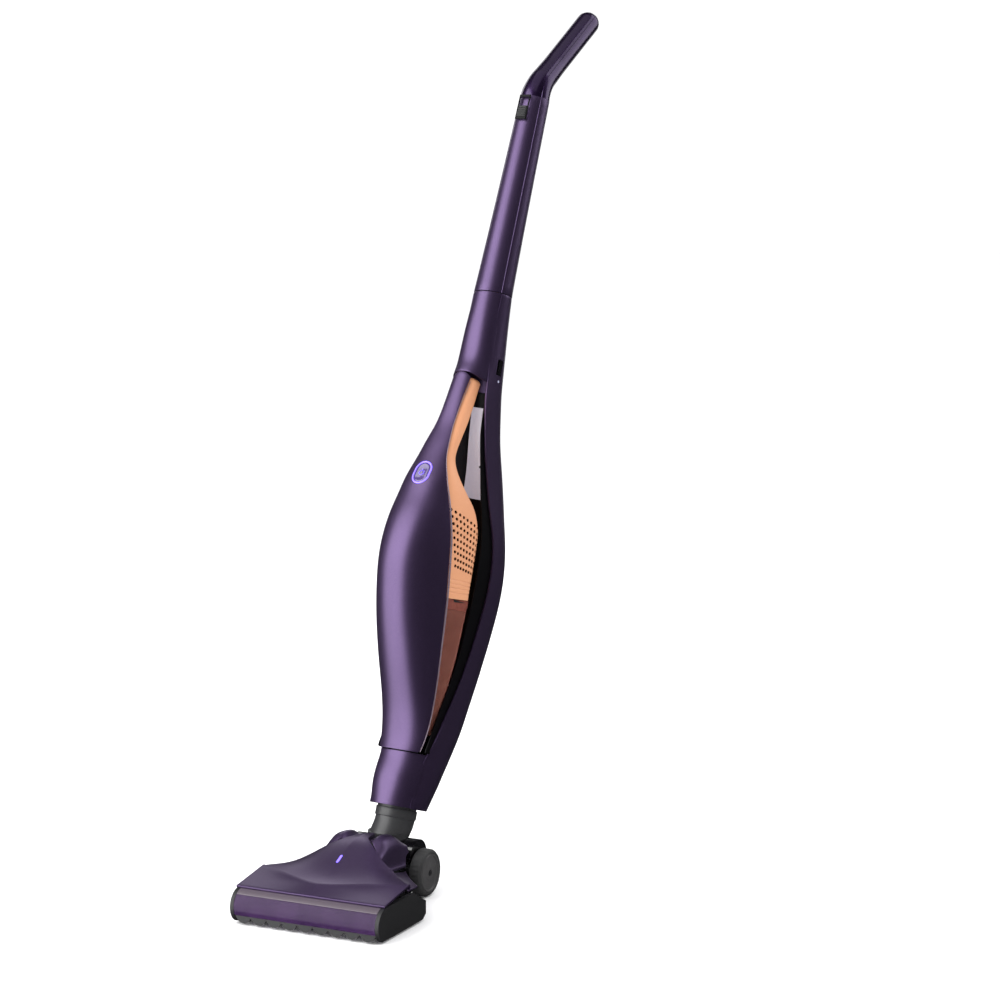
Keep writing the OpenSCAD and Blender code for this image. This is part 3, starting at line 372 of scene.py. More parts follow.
def material(name, low, high, rough, metallic=0.0, coat=0.0, coat_rough=0.03, scale=900.0, bump=0.0,
             bump_scale=None,
             rough_vary=0.04, transmission=0.0, glow=None, alpha=1.0, specular=0.5, ior=1.5, sheen=0.0):
    """A shader: colour drifting between low and high, uneven roughness and, if asked, a fine grain."""
    m = bpy.data.materials.new(name)
    m.use_nodes = True
    nodes, links = m.node_tree.nodes, m.node_tree.links
    shader = nodes["Principled BSDF"]
    coords = nodes.new("ShaderNodeTexCoord")
    noise = nodes.new("ShaderNodeTexNoise")
    noise.inputs["Scale"].default_value = scale
    noise.inputs["Detail"].default_value = 4
    links.new(coords.outputs["Object"], noise.inputs["Vector"])
    ramp = nodes.new("ShaderNodeValToRGB")
    ramp.color_ramp.elements[0].position = 0.32
    ramp.color_ramp.elements[0].color = linear(*low)
    ramp.color_ramp.elements[1].position = 0.68
    ramp.color_ramp.elements[1].color = linear(*high)
    links.new(noise.outputs["Fac"], ramp.inputs["Fac"])
    links.new(ramp.outputs["Color"], shader.inputs["Base Color"])
    wear = nodes.new("ShaderNodeTexNoise")
    wear.inputs["Scale"].default_value = 14
    wear.inputs["Detail"].default_value = 3
    links.new(coords.outputs["Object"], wear.inputs["Vector"])
    spread = nodes.new("ShaderNodeMapRange")
    spread.inputs["To Min"].default_value = max(0.0, rough - rough_vary)
    spread.inputs["To Max"].default_value = min(1.0, rough + rough_vary)
    links.new(wear.outputs["Fac"], spread.inputs["Value"])
    links.new(spread.outputs["Result"], shader.inputs["Roughness"])
    shader.inputs["Metallic"].default_value = metallic
    shader.inputs["Coat Weight"].default_value = coat
    shader.inputs["Coat Roughness"].default_value = coat_rough
    shader.inputs["IOR"].default_value = ior
    shader.inputs["Specular IOR Level"].default_value = specular
    shader.inputs["Transmission Weight"].default_value = transmission
    shader.inputs["Sheen Weight"].default_value = sheen
    shader.inputs["Alpha"].default_value = alpha
    if glow:
        shader.inputs["Emission Color"].default_value = linear(*glow[0])
        shader.inputs["Emission Strength"].default_value = glow[1]
    if bump:
        grain = nodes.new("ShaderNodeTexNoise")
        grain.inputs["Scale"].default_value = bump_scale or scale
        grain.inputs["Detail"].default_value = 3
        links.new(coords.outputs["Object"], grain.inputs["Vector"])
        relief = nodes.new("ShaderNodeBump")
        relief.inputs["Strength"].default_value = bump
        relief.inputs["Distance"].default_value = 0.0004
        links.new(grain.outputs["Fac"], relief.inputs["Height"])
        links.new(relief.outputs["Normal"], shader.inputs["Normal"])
    return m


plum = material("plum_lacquer", (72, 54, 92), (102, 84, 120), 0.42, 0.9, 0.3, 0.34, 2600, 0.02, 2400)
plum_deep = material("plum_deep", (46, 28, 64), (66, 46, 88), 0.32, 0.92, 0.5, 0.1, 2600, 0.02, 2400)
copper = material("copper_lacquer", (206, 140, 98), (218, 156, 116), 0.52, 0.12, 0.15, 0.3, 1500, 0.04, 1800)
trim_m = material("pearl_trim", (168, 148, 166), (190, 172, 188), 0.28, 0.7, 0.6, 0.08, 1800)
# The pearl panel's emission is painted light: a faint glow on a part that is no lamp, brightening it in the
# channel's shade.
pearl_glow_painted = material("pearl_panel_glow_painted", (196, 192, 202), (208, 204, 214), 0.42, 0.0, 0.3, 0.15, 1200, 0.02, 1500,
                 glow=((190, 184, 200), 0.35))
gloss_black = material("gloss_black", (6, 5, 8), (11, 9, 13), 0.14, 0.0, 0.8, 0.03, 700, rough_vary=0.03)
liner_m = material("liner_black", (6, 5, 8), (10, 9, 12), 0.4, 0.0, 0.0, 0.1, 700, rough_vary=0.03,
                   specular=0.15)
spark_black = material("spark_black", (24, 24, 26), (36, 36, 38), 0.52, 0.0, 0.0, 0.1, 1500, 0.55, 1300, 0.06)
elbow_black = material("elbow_black", (40, 40, 42), (54, 54, 56), 0.40, 0.0, 0.1, 0.2, 1300, 0.25, 1500, 0.06)
smoke = material("smoke_clear", (74, 48, 92), (86, 58, 104), 0.2, 0.0, 0.0, 0.05, 60, transmission=0.6,
                 rough_vary=0.02, specular=0.25, ior=1.3)
band_m = material("window_band", (84, 76, 84), (98, 88, 98), 0.35, 0.2, 0.2, 0.1, 900)
amber = material("amber_clear", (150, 92, 80), (168, 108, 94), 0.10, 0.0, 0.4, 0.03, 60, transmission=0.72,
                 rough_vary=0.03)
ridge_m = material("bin_ridge", (196, 160, 146), (214, 178, 162), 0.25, 0.0, 0.4, 0.06, 300)
amber_cap = material("amber_cap", (104, 54, 46), (122, 66, 56), 0.24, 0.0, 0.6, 0.06, 300)
glow_m = material("light_guide", (120, 100, 235), (140, 120, 250), 0.3, 0.0, 0.4, 0.1, 300,
                  glow=((112, 88, 255), 0.8))
lamp_m = material("status_lens", (150, 150, 170), (176, 176, 196), 0.3, 0.0, 0.4, 0.1, 300,
                  glow=((150, 150, 210), 0.15))
button_m = material("button_lens", (60, 46, 86), (74, 58, 104), 0.25, 0.3, 1.0, 0.05, 900,
                    glow=((90, 70, 200), 0.12))
tread_m = material("wheel_tread", (40, 40, 41), (54, 54, 55), 0.62, 0.0, 0.0, 0.2, 900, 0.35, 1100, 0.08)
hub_m = material("wheel_face", (56, 55, 56), (70, 69, 70), 0.46, 0.0, 0.05, 0.2, 1100, 0.35, 1300, 0.06)
rubber = material("soft_rubber", (26, 26, 27), (36, 36, 37), 0.7, 0.0, 0.0, 0.2, 700, 0.3, 900, 0.08)
inner_m = material("moulded_grey", (92, 92, 95), (104, 104, 107), 0.45, 0.0, 0.1, 0.2, 500, 0.15, 900)
steel = material("turned_steel", (168, 168, 172), (186, 186, 190), 0.28, 1.0, 0.0, 0.1, 1400, 0.08, 1600)
brass = material("plated_brass", (196, 160, 96), (214, 178, 112), 0.26, 1.0, 0.0, 0.1, 1200, 0.05, 1500)
fleece = material("filter_fleece", (224, 222, 214), (238, 236, 230), 0.9, 0.0, 0.0, 0.2, 500, 0.6, 700,
                  sheen=0.3)
nylon = material("bristle_nylon", (96, 78, 122), (150, 132, 172), 0.55, 0.0, 0.0, 0.2, 800, 0.2, 1500,
                 sheen=0.2)
felt = material("sole_felt", (62, 58, 66), (80, 76, 84), 0.95, 0.0, 0.0, 0.2, 700, 0.9, 800, sheen=0.4)
wrap = material("cell_wrap", (52, 92, 150), (62, 104, 166), 0.3, 0.0, 0.4, 0.1, 300)
board = material("board_green", (20, 74, 44), (28, 90, 54), 0.4, 0.0, 0.2, 0.1, 400)
wire = material("lead_red", (146, 60, 44), (160, 72, 54), 0.5, 0.0, 0.0, 0.1, 300)

# ---------------------------------------------------------------- handle tube and grip
step_in = 0.9  # how far the front parts lie inside the rear band
crease = 28.0  # degrees from the side to the crease between front and band
crease_gap = 1.6
tube_low_y, tube_top_y = 5.0, 18.0  # the tube's middle, at its ends


def stepped_ring(n, section):
    """Points (angle, inset): the front of the tube lies a step inside the rear band."""
    angles = list(np.linspace(-crease, 180 + crease, n)) + \
        list(np.linspace(180 + crease + crease_gap, 360 - crease - crease_gap, n // 2))
    return [section(math.radians(a), 0.0 if k < n else step_in) for k, a in enumerate(angles)]


def tube_mid(z):
    return mix(tube_low_y, tube_top_y, (z - tube_z) / tube_len)


def tube_r(z):
    return mix(tube_r_low, tube_r_top, max(0.0, (z - tube_z) / tube_len) ** 0.8)


tube_rings = []
for z in np.linspace(tube_z, tube_top, 26):
    r, y = tube_r(z), tube_mid(z)
    tube_rings.append(stepped_ring(34, lambda a, t: ((r - t) * math.cos(a), y + (r - t) * math.sin(a), z)))
tube = shell("handle_tube_shell", tube_rings, wall=2.2, edge=0.35, levels=0)
finish_piece(tube, plum, "stick", "plum_gloss", "handle_tube")

bend_r, grip_len = 55.0, 132.0
bend_deg = 33.0 + math.degrees(math.atan((tube_top_y - tube_low_y) / tube_len))
bend_share = 0.35  # the share of the grip's run that is the bend
grip_r_end = 16.5


def grip_frame(s):
    """Lean, y and z of the grip's middle line: a bend, then a straight."""
    a = math.radians(bend_deg * min(1.0, s / bend_share))
    d = max(0.0, (s - bend_share) / (1 - bend_share)) * grip_len
    y = tube_top_y + bend_r * (1 - math.cos(a)) + d * math.sin(a)
    return a, y, tube_top + bend_r * math.sin(a) + d * math.cos(a)


def grip_ring(s, r, fade):
    a, y0, z0 = grip_frame(s)

    def section(u, t):
        q = r - t * fade
        flat = 1.0 - 0.05 * fade * max(0.0, math.sin(u)) ** 2
        depth = q * flat * math.sin(u)
        return q * math.cos(u), y0 + depth * math.cos(a), z0 - depth * math.sin(a)
    return stepped_ring(34, section)


grip_rings = []
for s in np.linspace(0, 1, 44):
    grip_rings.append(grip_ring(s, mix(tube_r_top, grip_r_end, min(1, s / 0.5)), 1.0))
for b in (8, 16, 24, 32, 40, 48, 56, 64, 72, 79, 84, 88):
    c = math.cos(math.radians(b))
    beyond = math.sin(math.radians(b)) * grip_r_end * (1 - bend_share) / grip_len
    grip_rings.append(grip_ring(1 + beyond, grip_r_end * c, c * c))
grip = loft("handle_grip_shell", grip_rings, caps=True)
settle(grip, 50)
finish_piece(grip, plum_deep, "stick", "plum_dark", "handle_grip")

# ---------------------------------------------------------------- rear band: neck, spine and shoulder in one
def band_section(z, t, rim_add=0.0, n_side=7, n_back=30):
    half, rear, front, mid = band_half(z) - t, band_rear(z) - t, band_front(z) + t, band_mid(z)
    rim = band_rim(z) + rim_add
    mid = max(mid, mix(mid, rim + 3, band_flat(z)))
    p, flat = band_power(z), band_flat(z)

    def side(y):
        k = min(1.0, max(0.0, (mid - y) / (mid - front)))
        return half * mix((1 - k ** 2) ** 0.5, 1.0, flat)
    right = [(side(y), y, z) for y in np.linspace(rim, mid, n_side + 1)[:-1]]
    back = []
    for i in range(n_back + 1):
        a = math.pi * i / n_back
        back.append((half * spow(math.cos(a), p), mid + (rear - mid) * spow(math.sin(a), p), z))
    return right + back + [(-x, y, zz) for x, y, zz in reversed(right)]


band_z = list(np.linspace(neck_z, tube_z - 0.8, 96))
band = shell("rear_band", [band_section(z, 0) for z in band_z], closed=False, wall=2.4, edge=0.9, levels=1)
slot_low, slot_high = rise(0.22) - 10.5, rise(0.22) + 10.5
slot_front, slot_rear, slot_in = 4, 16, 16
slot = block("slot_cut",
             [(slot_front, slot_low), (slot_rear, slot_low), (slot_rear, slot_high), (slot_front, slot_high)],
             20, lambda q: place((slot_in + q[2], q[0], q[1])))
carve(band, slot)
lens_z, lens_y, lens_r = unit_top + 9, 12, 1.8
hole = lathe("light_cut", [(0.01, -6), (lens_r, -6), (lens_r, 6), (0.01, 6)],
             place((band_half(lens_z) - 1, lens_y, lens_z)), across, along, 24)
carve(band, hole)
finish_piece(band, plum, "stick", "plum_gloss", "spine_shell")


arch_rise = 11.0  # how far the cover's top and the shoulder's lower edge rise in front


def front_section(z, t, bow=0.0, n=26):
    """Front part of the neck and shoulder, tucked a little under the band's rims."""
    half, front, mid = band_half(z) - t, band_front(z) + t, band_mid(z)
    rim = band_rim(z) + 5
    power = mix(front_power, 1.0, ease(max((neck_z + 30 - z) / 30, (z - unit_top - 60) / 60)))
    k = min(0.999, max(0.05, (mid - rim) / (mid - front)))
    a0 = math.degrees(math.asin(k))
    pts = []
    for a in np.radians(np.linspace(180 + a0, 360 - a0, n)):
        y = mid + (mid - front) * spow(math.sin(a), power)
        pts.append((half * spow(math.cos(a), power), y, z + bow * max(0.0, -math.sin(a)) ** 2))
    return pts


neck_front = shell("neck_front",
                   [front_section(z, step_in) for z in np.linspace(neck_z + 0.4, collar_z - 0.4, 14)],
                   closed=False, wall=1.5, edge=0.5, levels=1)
finish_piece(neck_front, plum, "stick", "plum_gloss", "neck_collar")
shoulder_z = np.linspace(unit_top + 0.9, tube_z - 0.8, 22)
shoulder_rows = [front_section(z, step_in,
                               arch_rise * (shoulder_z[-1] - z) / (shoulder_z[-1] - shoulder_z[0]))
                 for z in shoulder_z]
shoulder = shell("shoulder_front", shoulder_rows, closed=False, wall=1.5, edge=0.5, levels=1)
finish_piece(shoulder, plum, "stick", "plum_gloss", "shoulder_shell")


liner_gap = 2.8  # the liner's distance inside the band
liner_power = 0.667


def liner_section(z, t):
    half, rear = spine_half(z) - liner_gap - t, band_rear(z) - liner_gap - t
    rim = liner_rim(z)
    mid = max(band_mid(z), band_rim(z) + 3)
    right = [(half, y, z) for y in np.linspace(rim, mid, 9)[:-1]]
    back = []
    for i in range(29):
        a = math.pi * i / 28
        back.append((half * spow(math.cos(a), liner_power),
                     mid + (rear - mid) * spow(math.sin(a), liner_power), z))
    return right + back + [(-x, y, zz) for x, y, zz in reversed(right)]


liner = shell("channel_liner", [liner_section(z, 0) for z in np.linspace(collar_z + 1.5, unit_top - 1.5, 60)],
              closed=False, wall=1.6, edge=0.6, levels=1)
finish_piece(liner, liner_m, "stick", "black_gloss", "spine_liner")

# Pale panel on the channel's back, seen through the finger gap, with a faint glow that is painted light
# lifting it out of the channel's shade. Each row is part of the liner's section.
panel_rings = []
panel_low, panel_high = up(.715), up(.955)
for z in np.linspace(panel_low, panel_high, 40):
    ring = liner_section(z, 2.0)
    t = (z - panel_low) / (panel_high - panel_low)
    shrink = 1 - math.sqrt(max(0.0, 1 - (1 - min(1.0, t / 0.09)) ** 2))
    first = mix(14.0, 21.0, t) + 4.0 * shrink
    last = mix(33.0, 30.0, t) - 3.0 * shrink
    row = []
    for k in range(17):
        q = mix(first, last, k / 16)
        a, b = ring[int(q)], ring[int(q) + 1]
        row.append(tuple(mix(a[c], b[c], q - int(q)) for c in range(3)))
    panel_rings.append(row)
panel = shell("channel_panel", panel_rings, closed=False, wall=0.8, edge=0.3, levels=1)
finish_piece(panel, pearl_glow_painted, "stick", "lilac_trim")

# ---------------------------------------------------------------- hand unit
power_z = up(.725)
power_in = Vector(joint["power_press"]["axis"]).normalized()
power_up = across.cross(power_in)
if power_up.dot(along) < 0:
    power_up = -power_up
power_at = place((0, unit_front(power_z), power_z))


def at_power(q):
    """q: across, up the face, outwards, in mm."""
    return power_at + (across * q[0] + power_up * q[1] - power_in * q[2]) * MM


def oval(r, n=48, half=4.0):
    pts = []
    for i in range(n):
        a = 2 * math.pi * i / n
        pts.append((r * math.cos(a), r * math.sin(a) + (half if math.sin(a) >= 0 else -half)))
    return pts


def face_height(x, v):
    """How far the cover's face lies outwards of the button's middle at (x, v)."""
    z = power_z + v * power_up.dot(along)
    h = unit_half(z)
    s = min(0.98, abs(x) / h)
    a = math.degrees(math.asin(s ** (1 / front_power)))
    p = place(unit_point(z, math.copysign(a, x)))
    return -(p - power_at).dot(power_in) / MM


unit_low = collar_z + 1
cover_levels = np.linspace(unit_low, unit_top - 0.2, 66)
arch_low = up(0.86)


def arch(z, a):
    """The cover's upper end rises to an arch in front."""
    share = ease((z - arch_low) / (unit_top - arch_low))
    return z + arch_rise * share * math.cos(math.radians(min(90.0, abs(a) * 1.6)))


def cover_row(z, n=36):
    w = cover_span(z)
    row = []
    for i in range(n + 1):
        a = mix(-w, w, i / n)
        x, y, _ = unit_point(z, a)
        row.append((x, y, arch(z, a)))
    return row


cover = shell("front_cover_shell", [cover_row(z) for z in cover_levels], closed=False, wall=2.2, edge=0.7,
              levels=1)
cut = block("oval_cut", oval(13.3), 40, lambda q: at_power((q[0], q[1], q[2] - 20)))
carve(cover, cut)
finish_piece(cover, plum, "hand_unit", "plum_gloss", "front_cover")


def oval_sheet(rings):
    """Rings of (oval radius, height) over the cover's face."""
    n = 64
    verts, faces = [], []
    for r, h in rings:
        for u, v in oval(r, n, 4.0 if r > 1 else 4.0 * r):
            verts.append(at_power((u, v, face_height(u, v) + h)))
    for j in range(len(rings) - 1):
        for i in range(n):
            a, b = j * n + i, j * n + (i + 1) % n
            faces.append((a, b, b + n, a + n))
    return verts, faces, n


ring_profile = [(12.9, -1.5), (12.95, -.3), (12.7, .15), (12.2, .35), (11.4, .35), (10.9, .15), (10.65, -.3),
                (10.65, -1.5)]
v, f, n = oval_sheet(ring_profile)
k = len(ring_profile)
f += [((k - 1) * n + i, (k - 1) * n + (i + 1) % n, (i + 1) % n, i) for i in range(n)]
ring = make("ring_light_guide", v, f)
settle(ring, 60)
finish_piece(ring, glow_m, "hand_unit", "button_glow", "ring_light")
lens_profile = [(10.35, -1.3), (10.35, -.6), (10.1, -.25), (9.6, -.1), (8, -.25), (6, -.5), (4, -.65),
                (2, -.75), (.4, -.8)]
v, f, n = oval_sheet(lens_profile)
f.append(tuple(8 * n + i for i in range(n)))
f.append(tuple(range(n - 1, -1, -1)))
button = make("power_button_lens", v, f)
settle(button, 60)
finish_piece(button, button_m, "power_button", "plum_dark", "power_button")


def tube_along(name, points, r, n=8, closed=False):
    pts = [Vector(p) for p in points]
    verts, faces = [], []
    for i, p in enumerate(pts):
        a = pts[(i - 1) % len(pts)] if closed or i else pts[0]
        b = pts[(i + 1) % len(pts)] if closed or i < len(pts) - 1 else pts[-1]
        t = (b - a).normalized()
        u = t.cross(power_in).normalized()
        w = t.cross(u)
        for k2 in range(n):
            q = 2 * math.pi * k2 / n
            verts.append(p + (u * math.cos(q) + w * math.sin(q)) * r * MM)
    m = len(pts)
    for i in range(m if closed else m - 1):
        for k2 in range(n):
            a, b = i * n + k2, i * n + (k2 + 1) % n
            c, d = ((i + 1) % m) * n + (k2 + 1) % n, ((i + 1) % m) * n + k2
            faces.append((a, b, c, d))
    if not closed:
        faces.append(tuple(range(n)))
        faces.append(tuple((m - 1) * n + k2 for k2 in range(n - 1, -1, -1)))
    obj = make(name, verts, faces)
    return settle(obj, 60)


def on_button(u, v):
    return at_power((u, v, face_height(u, v) - 0.35))


arc = [on_button(3.6 * math.sin(math.radians(a)), -0.5 + 3.6 * math.cos(math.radians(a))) for a in range(40,
        321, 14)]
mark = join("power_mark",
            [tube_along("arc", arc, 0.35), tube_along("bar", [on_button(0, 1.2), on_button(0, 4.6)], 0.35)])
mark.data.shade_smooth()
finish_piece(mark, glow_m, "power_button", "button_glow")


def trim_row(z, side):
    w = cover_span(z)
    pts = [unit_point(z, side * a, t) for a, t in
           ((w + .7, 1.6), (w + .7, .5), (w + 1.1, .15), (w + 2.7, .15), (w + 3.1, .5), (w + 3.1, 1.6))]
    return pts if side > 0 else list(reversed(pts))


for side, name in ((1, "trim_right"), (-1, "trim_left")):
    t = loft(name + "_strip", [trim_row(z, side) for z in cover_levels], closed=True, caps=True)
    subdivide(t, 1)
    settle(t, 60)
    finish_piece(t, trim_m, "hand_unit", "lilac_trim", name)

housing_low = up(.415)
inner_in = 3.0  # the housing's and the bin's distance inside the front cover
press_room = 2.0  # more distance behind the power button, for its travel
groove_count, groove_low, groove_pitch, groove_depth = 4, 8, 5.2, 0.9


def housing_half(z):
    return min(unit_half(z) - inner_in, half_w - 4.8)


def slant(y, z):
    """The copper panel's lower edge climbs a little to the rear."""
    return z + 0.10 * (y + 15) * math.exp(-((z - housing_low) / 30) ** 2)


def housing_row(z, t=0.0, n=34):
    f, r, m = unit_front(z) + inner_in + t, housing_back(z) - t, unit_mid(z)
    f += press_room * math.exp(-((z - power_z) / 18) ** 2)
    r = max(r, m + 3)
    groove = 0.0
    for g in range(groove_count):
        groove = max(groove, math.exp(-((z - housing_low - groove_low - groove_pitch * g) / 0.8) ** 2))
    half = max(1.5, housing_half(z) - t)
    ring = full_ring(z, half, min(f, m - 1.0), r, m, mix(m, r, .35), front_power, .7, n)
    out = []
    for x, y, zz in ring:
        side = groove * groove_depth if abs(x) > 0.86 * (housing_half(z) - t) and y > m - 20 else 0
        out.append((x - math.copysign(side, x), y, slant(y, zz)))
    return out


housing_top = unit_top - 0.5
grooved_top = housing_low + 32
zs = list(np.arange(housing_low, grooved_top, 0.7)) + list(np.arange(grooved_top, housing_top,
        3.0)) + [housing_top]
dome_rise, dome_in = 7.0, 15.0
dome = [(housing_top + dome_rise * math.sin(b),
         dome_in * (1 - math.cos(b))) for b in np.radians((15, 30, 45, 60, 75, 86))]
housing = loft("copper_housing", [housing_row(z) for z in zs] + [housing_row(z, t) for z, t in dome])
thicken(housing, 1.1)
bevel(housing, 0.5, angle=55)
settle(housing)

# Perforations of both sides, in a grid between four corners (y, z)
grille_top = (-57, 438), (10, 424)
grille_low = (-33, 370), (16, 366)
cols, rows = 9, 9
hole_y, hole_z, hole_in = 2.4 * 1.12, 2.4 * 0.9, 25
holes = []
for r in range(rows):
    for c in range(cols):
        u, w = c / (cols - 1), r / (rows - 1)
        y, z = (mix(mix(grille_top[0][k], grille_top[1][k], u), mix(grille_low[0][k], grille_low[1][k], u), w)
                for k in (0, 1))
        turns = [2 * math.pi * k / 10 for k in range(10)]
        pts = [(y + hole_y * math.cos(a), z + hole_z * math.sin(a)) for a in turns]
        for side in (1, -1):
            holes.append(block("hole", pts, 40, lambda q, s=side: place((s * (hole_in + q[2]), q[0], q[1]))))
carve(housing, join("holes", holes))
finish_piece(housing, copper, "hand_unit", "copper_shell", "motor_housing", "vent_grille_left",
             "vent_grille_right")
backing = shell("vent_backing",
                [housing_row(z, 2.0, 24) for z in np.linspace(housing_low + 30, up(.67), 12)], wall=1.0,
                edge=0, levels=0)
finish_piece(backing, gloss_black, "hand_unit", "black_matte")

bin_low = up(.05)
bin_top = up(.405)


def bin_row(z, t=0.0, n=30):
    m = unit_mid(z)
    ring = full_ring(z, bin_half(z) - t, unit_front(z) + inner_in + t, bin_back(z) - t, m, max(m, 4),
                     front_power, .75, n)
    return [(x, y, slant(y, zz)) for x, y, zz in ring]


dust = loft("dust_bin_shell", [bin_row(z) for z in np.linspace(bin_low, bin_top - 9, 40)], caps=False)
thicken(dust, 1.8)
bevel(dust, 0.5, angle=55)
settle(dust)
finish_piece(dust, amber, "hand_unit", "amber_clear", "dust_bin")

# Three upright ridges on the bin's rear; bin_row has 30 points to each half turn
for k, a in enumerate((78, 92, 106)):
    ridge = []
    for z in np.linspace(bin_low + 14, bin_top - 12, 30):
        ring = bin_row(z)
        f = (180 + a) / 180 * 30
        p, q = ring[int(f) % 60], ring[(int(f) + 1) % 60]
        x, y = mix(p[0], q[0], f - int(f)), mix(p[1], q[1], f - int(f))
        ridge.append([(x + u, y + v, z) for u, v in ((-0.6, -0.5), (0.55, -0.5), (0.55, 0.5), (-0.6, 0.5))])
    strip = loft("bin_ridge_%d" % k, ridge, caps=True)
    settle(strip, 40)
    finish_piece(strip, ridge_m, "hand_unit", "amber_clear")
collar_rows = [bin_row(z, -0.3 if 2 < k < 7 else 0.0) for k,
               z in enumerate(np.linspace(bin_top - 9.2, bin_top + 4.2, 10))]
collar = shell("bin_collar", collar_rows, wall=2.2, edge=0.4, levels=0)
finish_piece(collar, amber_cap, "hand_unit", "amber_clear")

# ---------------------------------------------------------------- floor head
def head_to(p):
    """The head stands square to the scene's axes; its points are mm."""
    return Vector(p) * MM


def node_span(node, k):
    lo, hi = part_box(node)
    return lo[k] / MM, hi[k] / MM


half_head = node_span("head_cover", 0)[1]
front_y = node_span("head_cover", 1)[0]
front_z = 44.5
ridge_rise, side_drop, hump_z, hump_w = 10.0, 10.5, 88.0, 63.0


def ridge_y(x):
    return front_y + 20 + 40 * (x / 100) ** 1.3


def back_y(x):
    """The cover's rear edge."""
    if x < 29.2:
        return 30.0
    if x < 44.0:
        return 43.0
    return mix(35.0, -42.0, max(0.0, (x - 44.5) / 58.0) ** 0.8)


# The groove between the cover's main part and its ears, then its flanks
groove_line = [(0, 40), (9, 12), (11.5, -3), (20, -13), (32.5, -23.5), (47.5, -33), (67, -40), (95.5, -63),
               (103, -68)]


def groove_y(x):
    return float(np.interp(x, [g[0] for g in groove_line], [g[1] for g in groove_line]))


def cover_top(x, y):
    """Height of the cover: a shelf up to a ridge, then a hump that runs out to the sides."""
    ridge = ridge_y(x)
    shelf = front_z + ridge_rise * min(1.0, max(0.0, (y - front_y) / (ridge - front_y)))
    side = shelf - side_drop * ease((y - ridge - 6) / 70) * x / half_head
    crown = (hump_z - front_z - ridge_rise) * ease((y - front_y - 20.5) / 104)
    crown *= 1 - 0.2 * ease((y - 2) / 50)
    fall = math.exp(-(x / hump_w) ** 3.2)
    flare = 0.34 * (1 - x / half_head)
    return side + crown * (fall + flare * (1 - fall))


def sheet(name, rows, thickness=2.4, edge=0.7):
    """Rows of points (mm), each from front to rear, made into a shell that thickens downwards."""
    n = len(rows[0])
    verts = [head_to(p) for row in rows for p in row]
    corners = [j * n + i for j in range(len(rows) - 1) for i in range(n - 1)]
    faces = [(a, a + n, a + n + 1, a + 1) for a in corners]
    obj = make(name, verts, faces)
    thicken(obj, thickness)
    if edge:
        bevel(obj, edge, 2, 50)
    return settle(obj, 30)


xs = sorted(set([round(float(v), 2) for v in np.linspace(-half_head, half_head, 121)]))


def main_row(x):
    ax = abs(x)
    ridge, end = ridge_y(ax), min(groove_y(ax), back_y(ax))
    end = max(end, ridge + 3)
    ys = list(np.linspace(front_y, ridge, 10)[:-1]) + list(np.linspace(ridge, end, 46))
    row = [(x, y, cover_top(ax, y)) for y in ys]
    lead = [(x, front_y + 0.6, front_z - 2.6), (x, front_y, front_z - 0.6)]
    skirt = [(x, end + 0.7, cover_top(ax, end) - 1.5), (x, end + 1.0, cover_top(ax, end) - 6.0)]
    return lead + row + skirt


cover_main = sheet("head_cover_main", [main_row(x) for x in xs])
light_y = -55.0
slit_reach = 6
slit_slope = math.atan((cover_top(0, light_y + slit_reach) - cover_top(0,
        light_y - slit_reach)) / (2 * slit_reach))


def at_slit(q):
    c, s = math.cos(slit_slope), math.sin(slit_slope)
    y, z = q[1] * c - q[2] * s, q[1] * s + q[2] * c
    return head_to((q[0], light_y + y, cover_top(0, light_y) + z))


def rounded(w, h, n=16):
    """A slot's outline, w and h from its middle, with round ends."""
    pts = []
    for start, end_y in ((0, h - w), (math.pi, w - h)):
        for k in range(n + 1):
            a = start + math.pi * k / n
            pts.append((w * math.cos(a), end_y + w * math.sin(a)))
    return pts


slit = block("slit_cut", rounded(1.7, 7.2), 12, lambda q: at_slit((q[0], q[1], q[2] - 8)))
carve(cover_main, slit)
finish_piece(cover_main, plum, "floor_head", "plum_gloss", "head_cover")
led = block("slit_light", rounded(1.5, 7.0), 4.0, lambda q: at_slit((q[0], q[1], q[2] - 3.6)))
settle(led, 30)
finish_piece(led, glow_m, "floor_head", "button_glow", "head_light")


def ear_top(x, y):
    """Rear part of the cover: the bumps over the pivots, then the low flanks in front of the wheels."""
    base = cover_top(x, y) - 4.0
    bump = 10.0 * math.exp(-((x - 30) / 11) ** 4 - ((y - 10) / 26) ** 4)
    low = mix(54.0, 49.0, ease((y + 40) / 80))
    return mix(base + bump, low, ease((x - 41) / 7))


ear_xs = list(np.linspace(11.5, 40.5, 24)) + list(np.linspace(41.5, 50, 12))
flank_x, flank_w, groove_gap = 50.6, 49, 2.4
for side, name in ((1, "right"), (-1, "left")):
    rows = []
    for x in ear_xs:
        y0, y1 = groove_y(x) + groove_gap, min(back_y(x), 43.0 if x > 29.2 else 30.0)
        rows.append([(side * x, y, ear_top(x, y)) for y in np.linspace(y0, y1, 30)])
    if side < 0:
        rows.reverse()
    ear = sheet("ear_" + name, rows, 2.2, 0.6)
    finish_piece(ear, plum, "floor_head", "plum_gloss")
    rows = []
    for x in np.linspace(flank_x, 99, 30):
        y0, y1 = groove_y(x) + groove_gap, max(back_y(x), groove_y(x) + 5)
        t = (x - flank_x) / flank_w
        top_z = mix(53.0, 46.0, t)
        rows.append([(side * x, mix(y0, y1, k / 13), top_z - 10 * ease(k / 13) * (1 - t)) for k in range(14)])
    if side < 0:
        rows.reverse()
    flank = sheet("flank_" + name, rows, 2.0, 0.5)
    finish_piece(flank, plum, "floor_head", "plum_gloss")

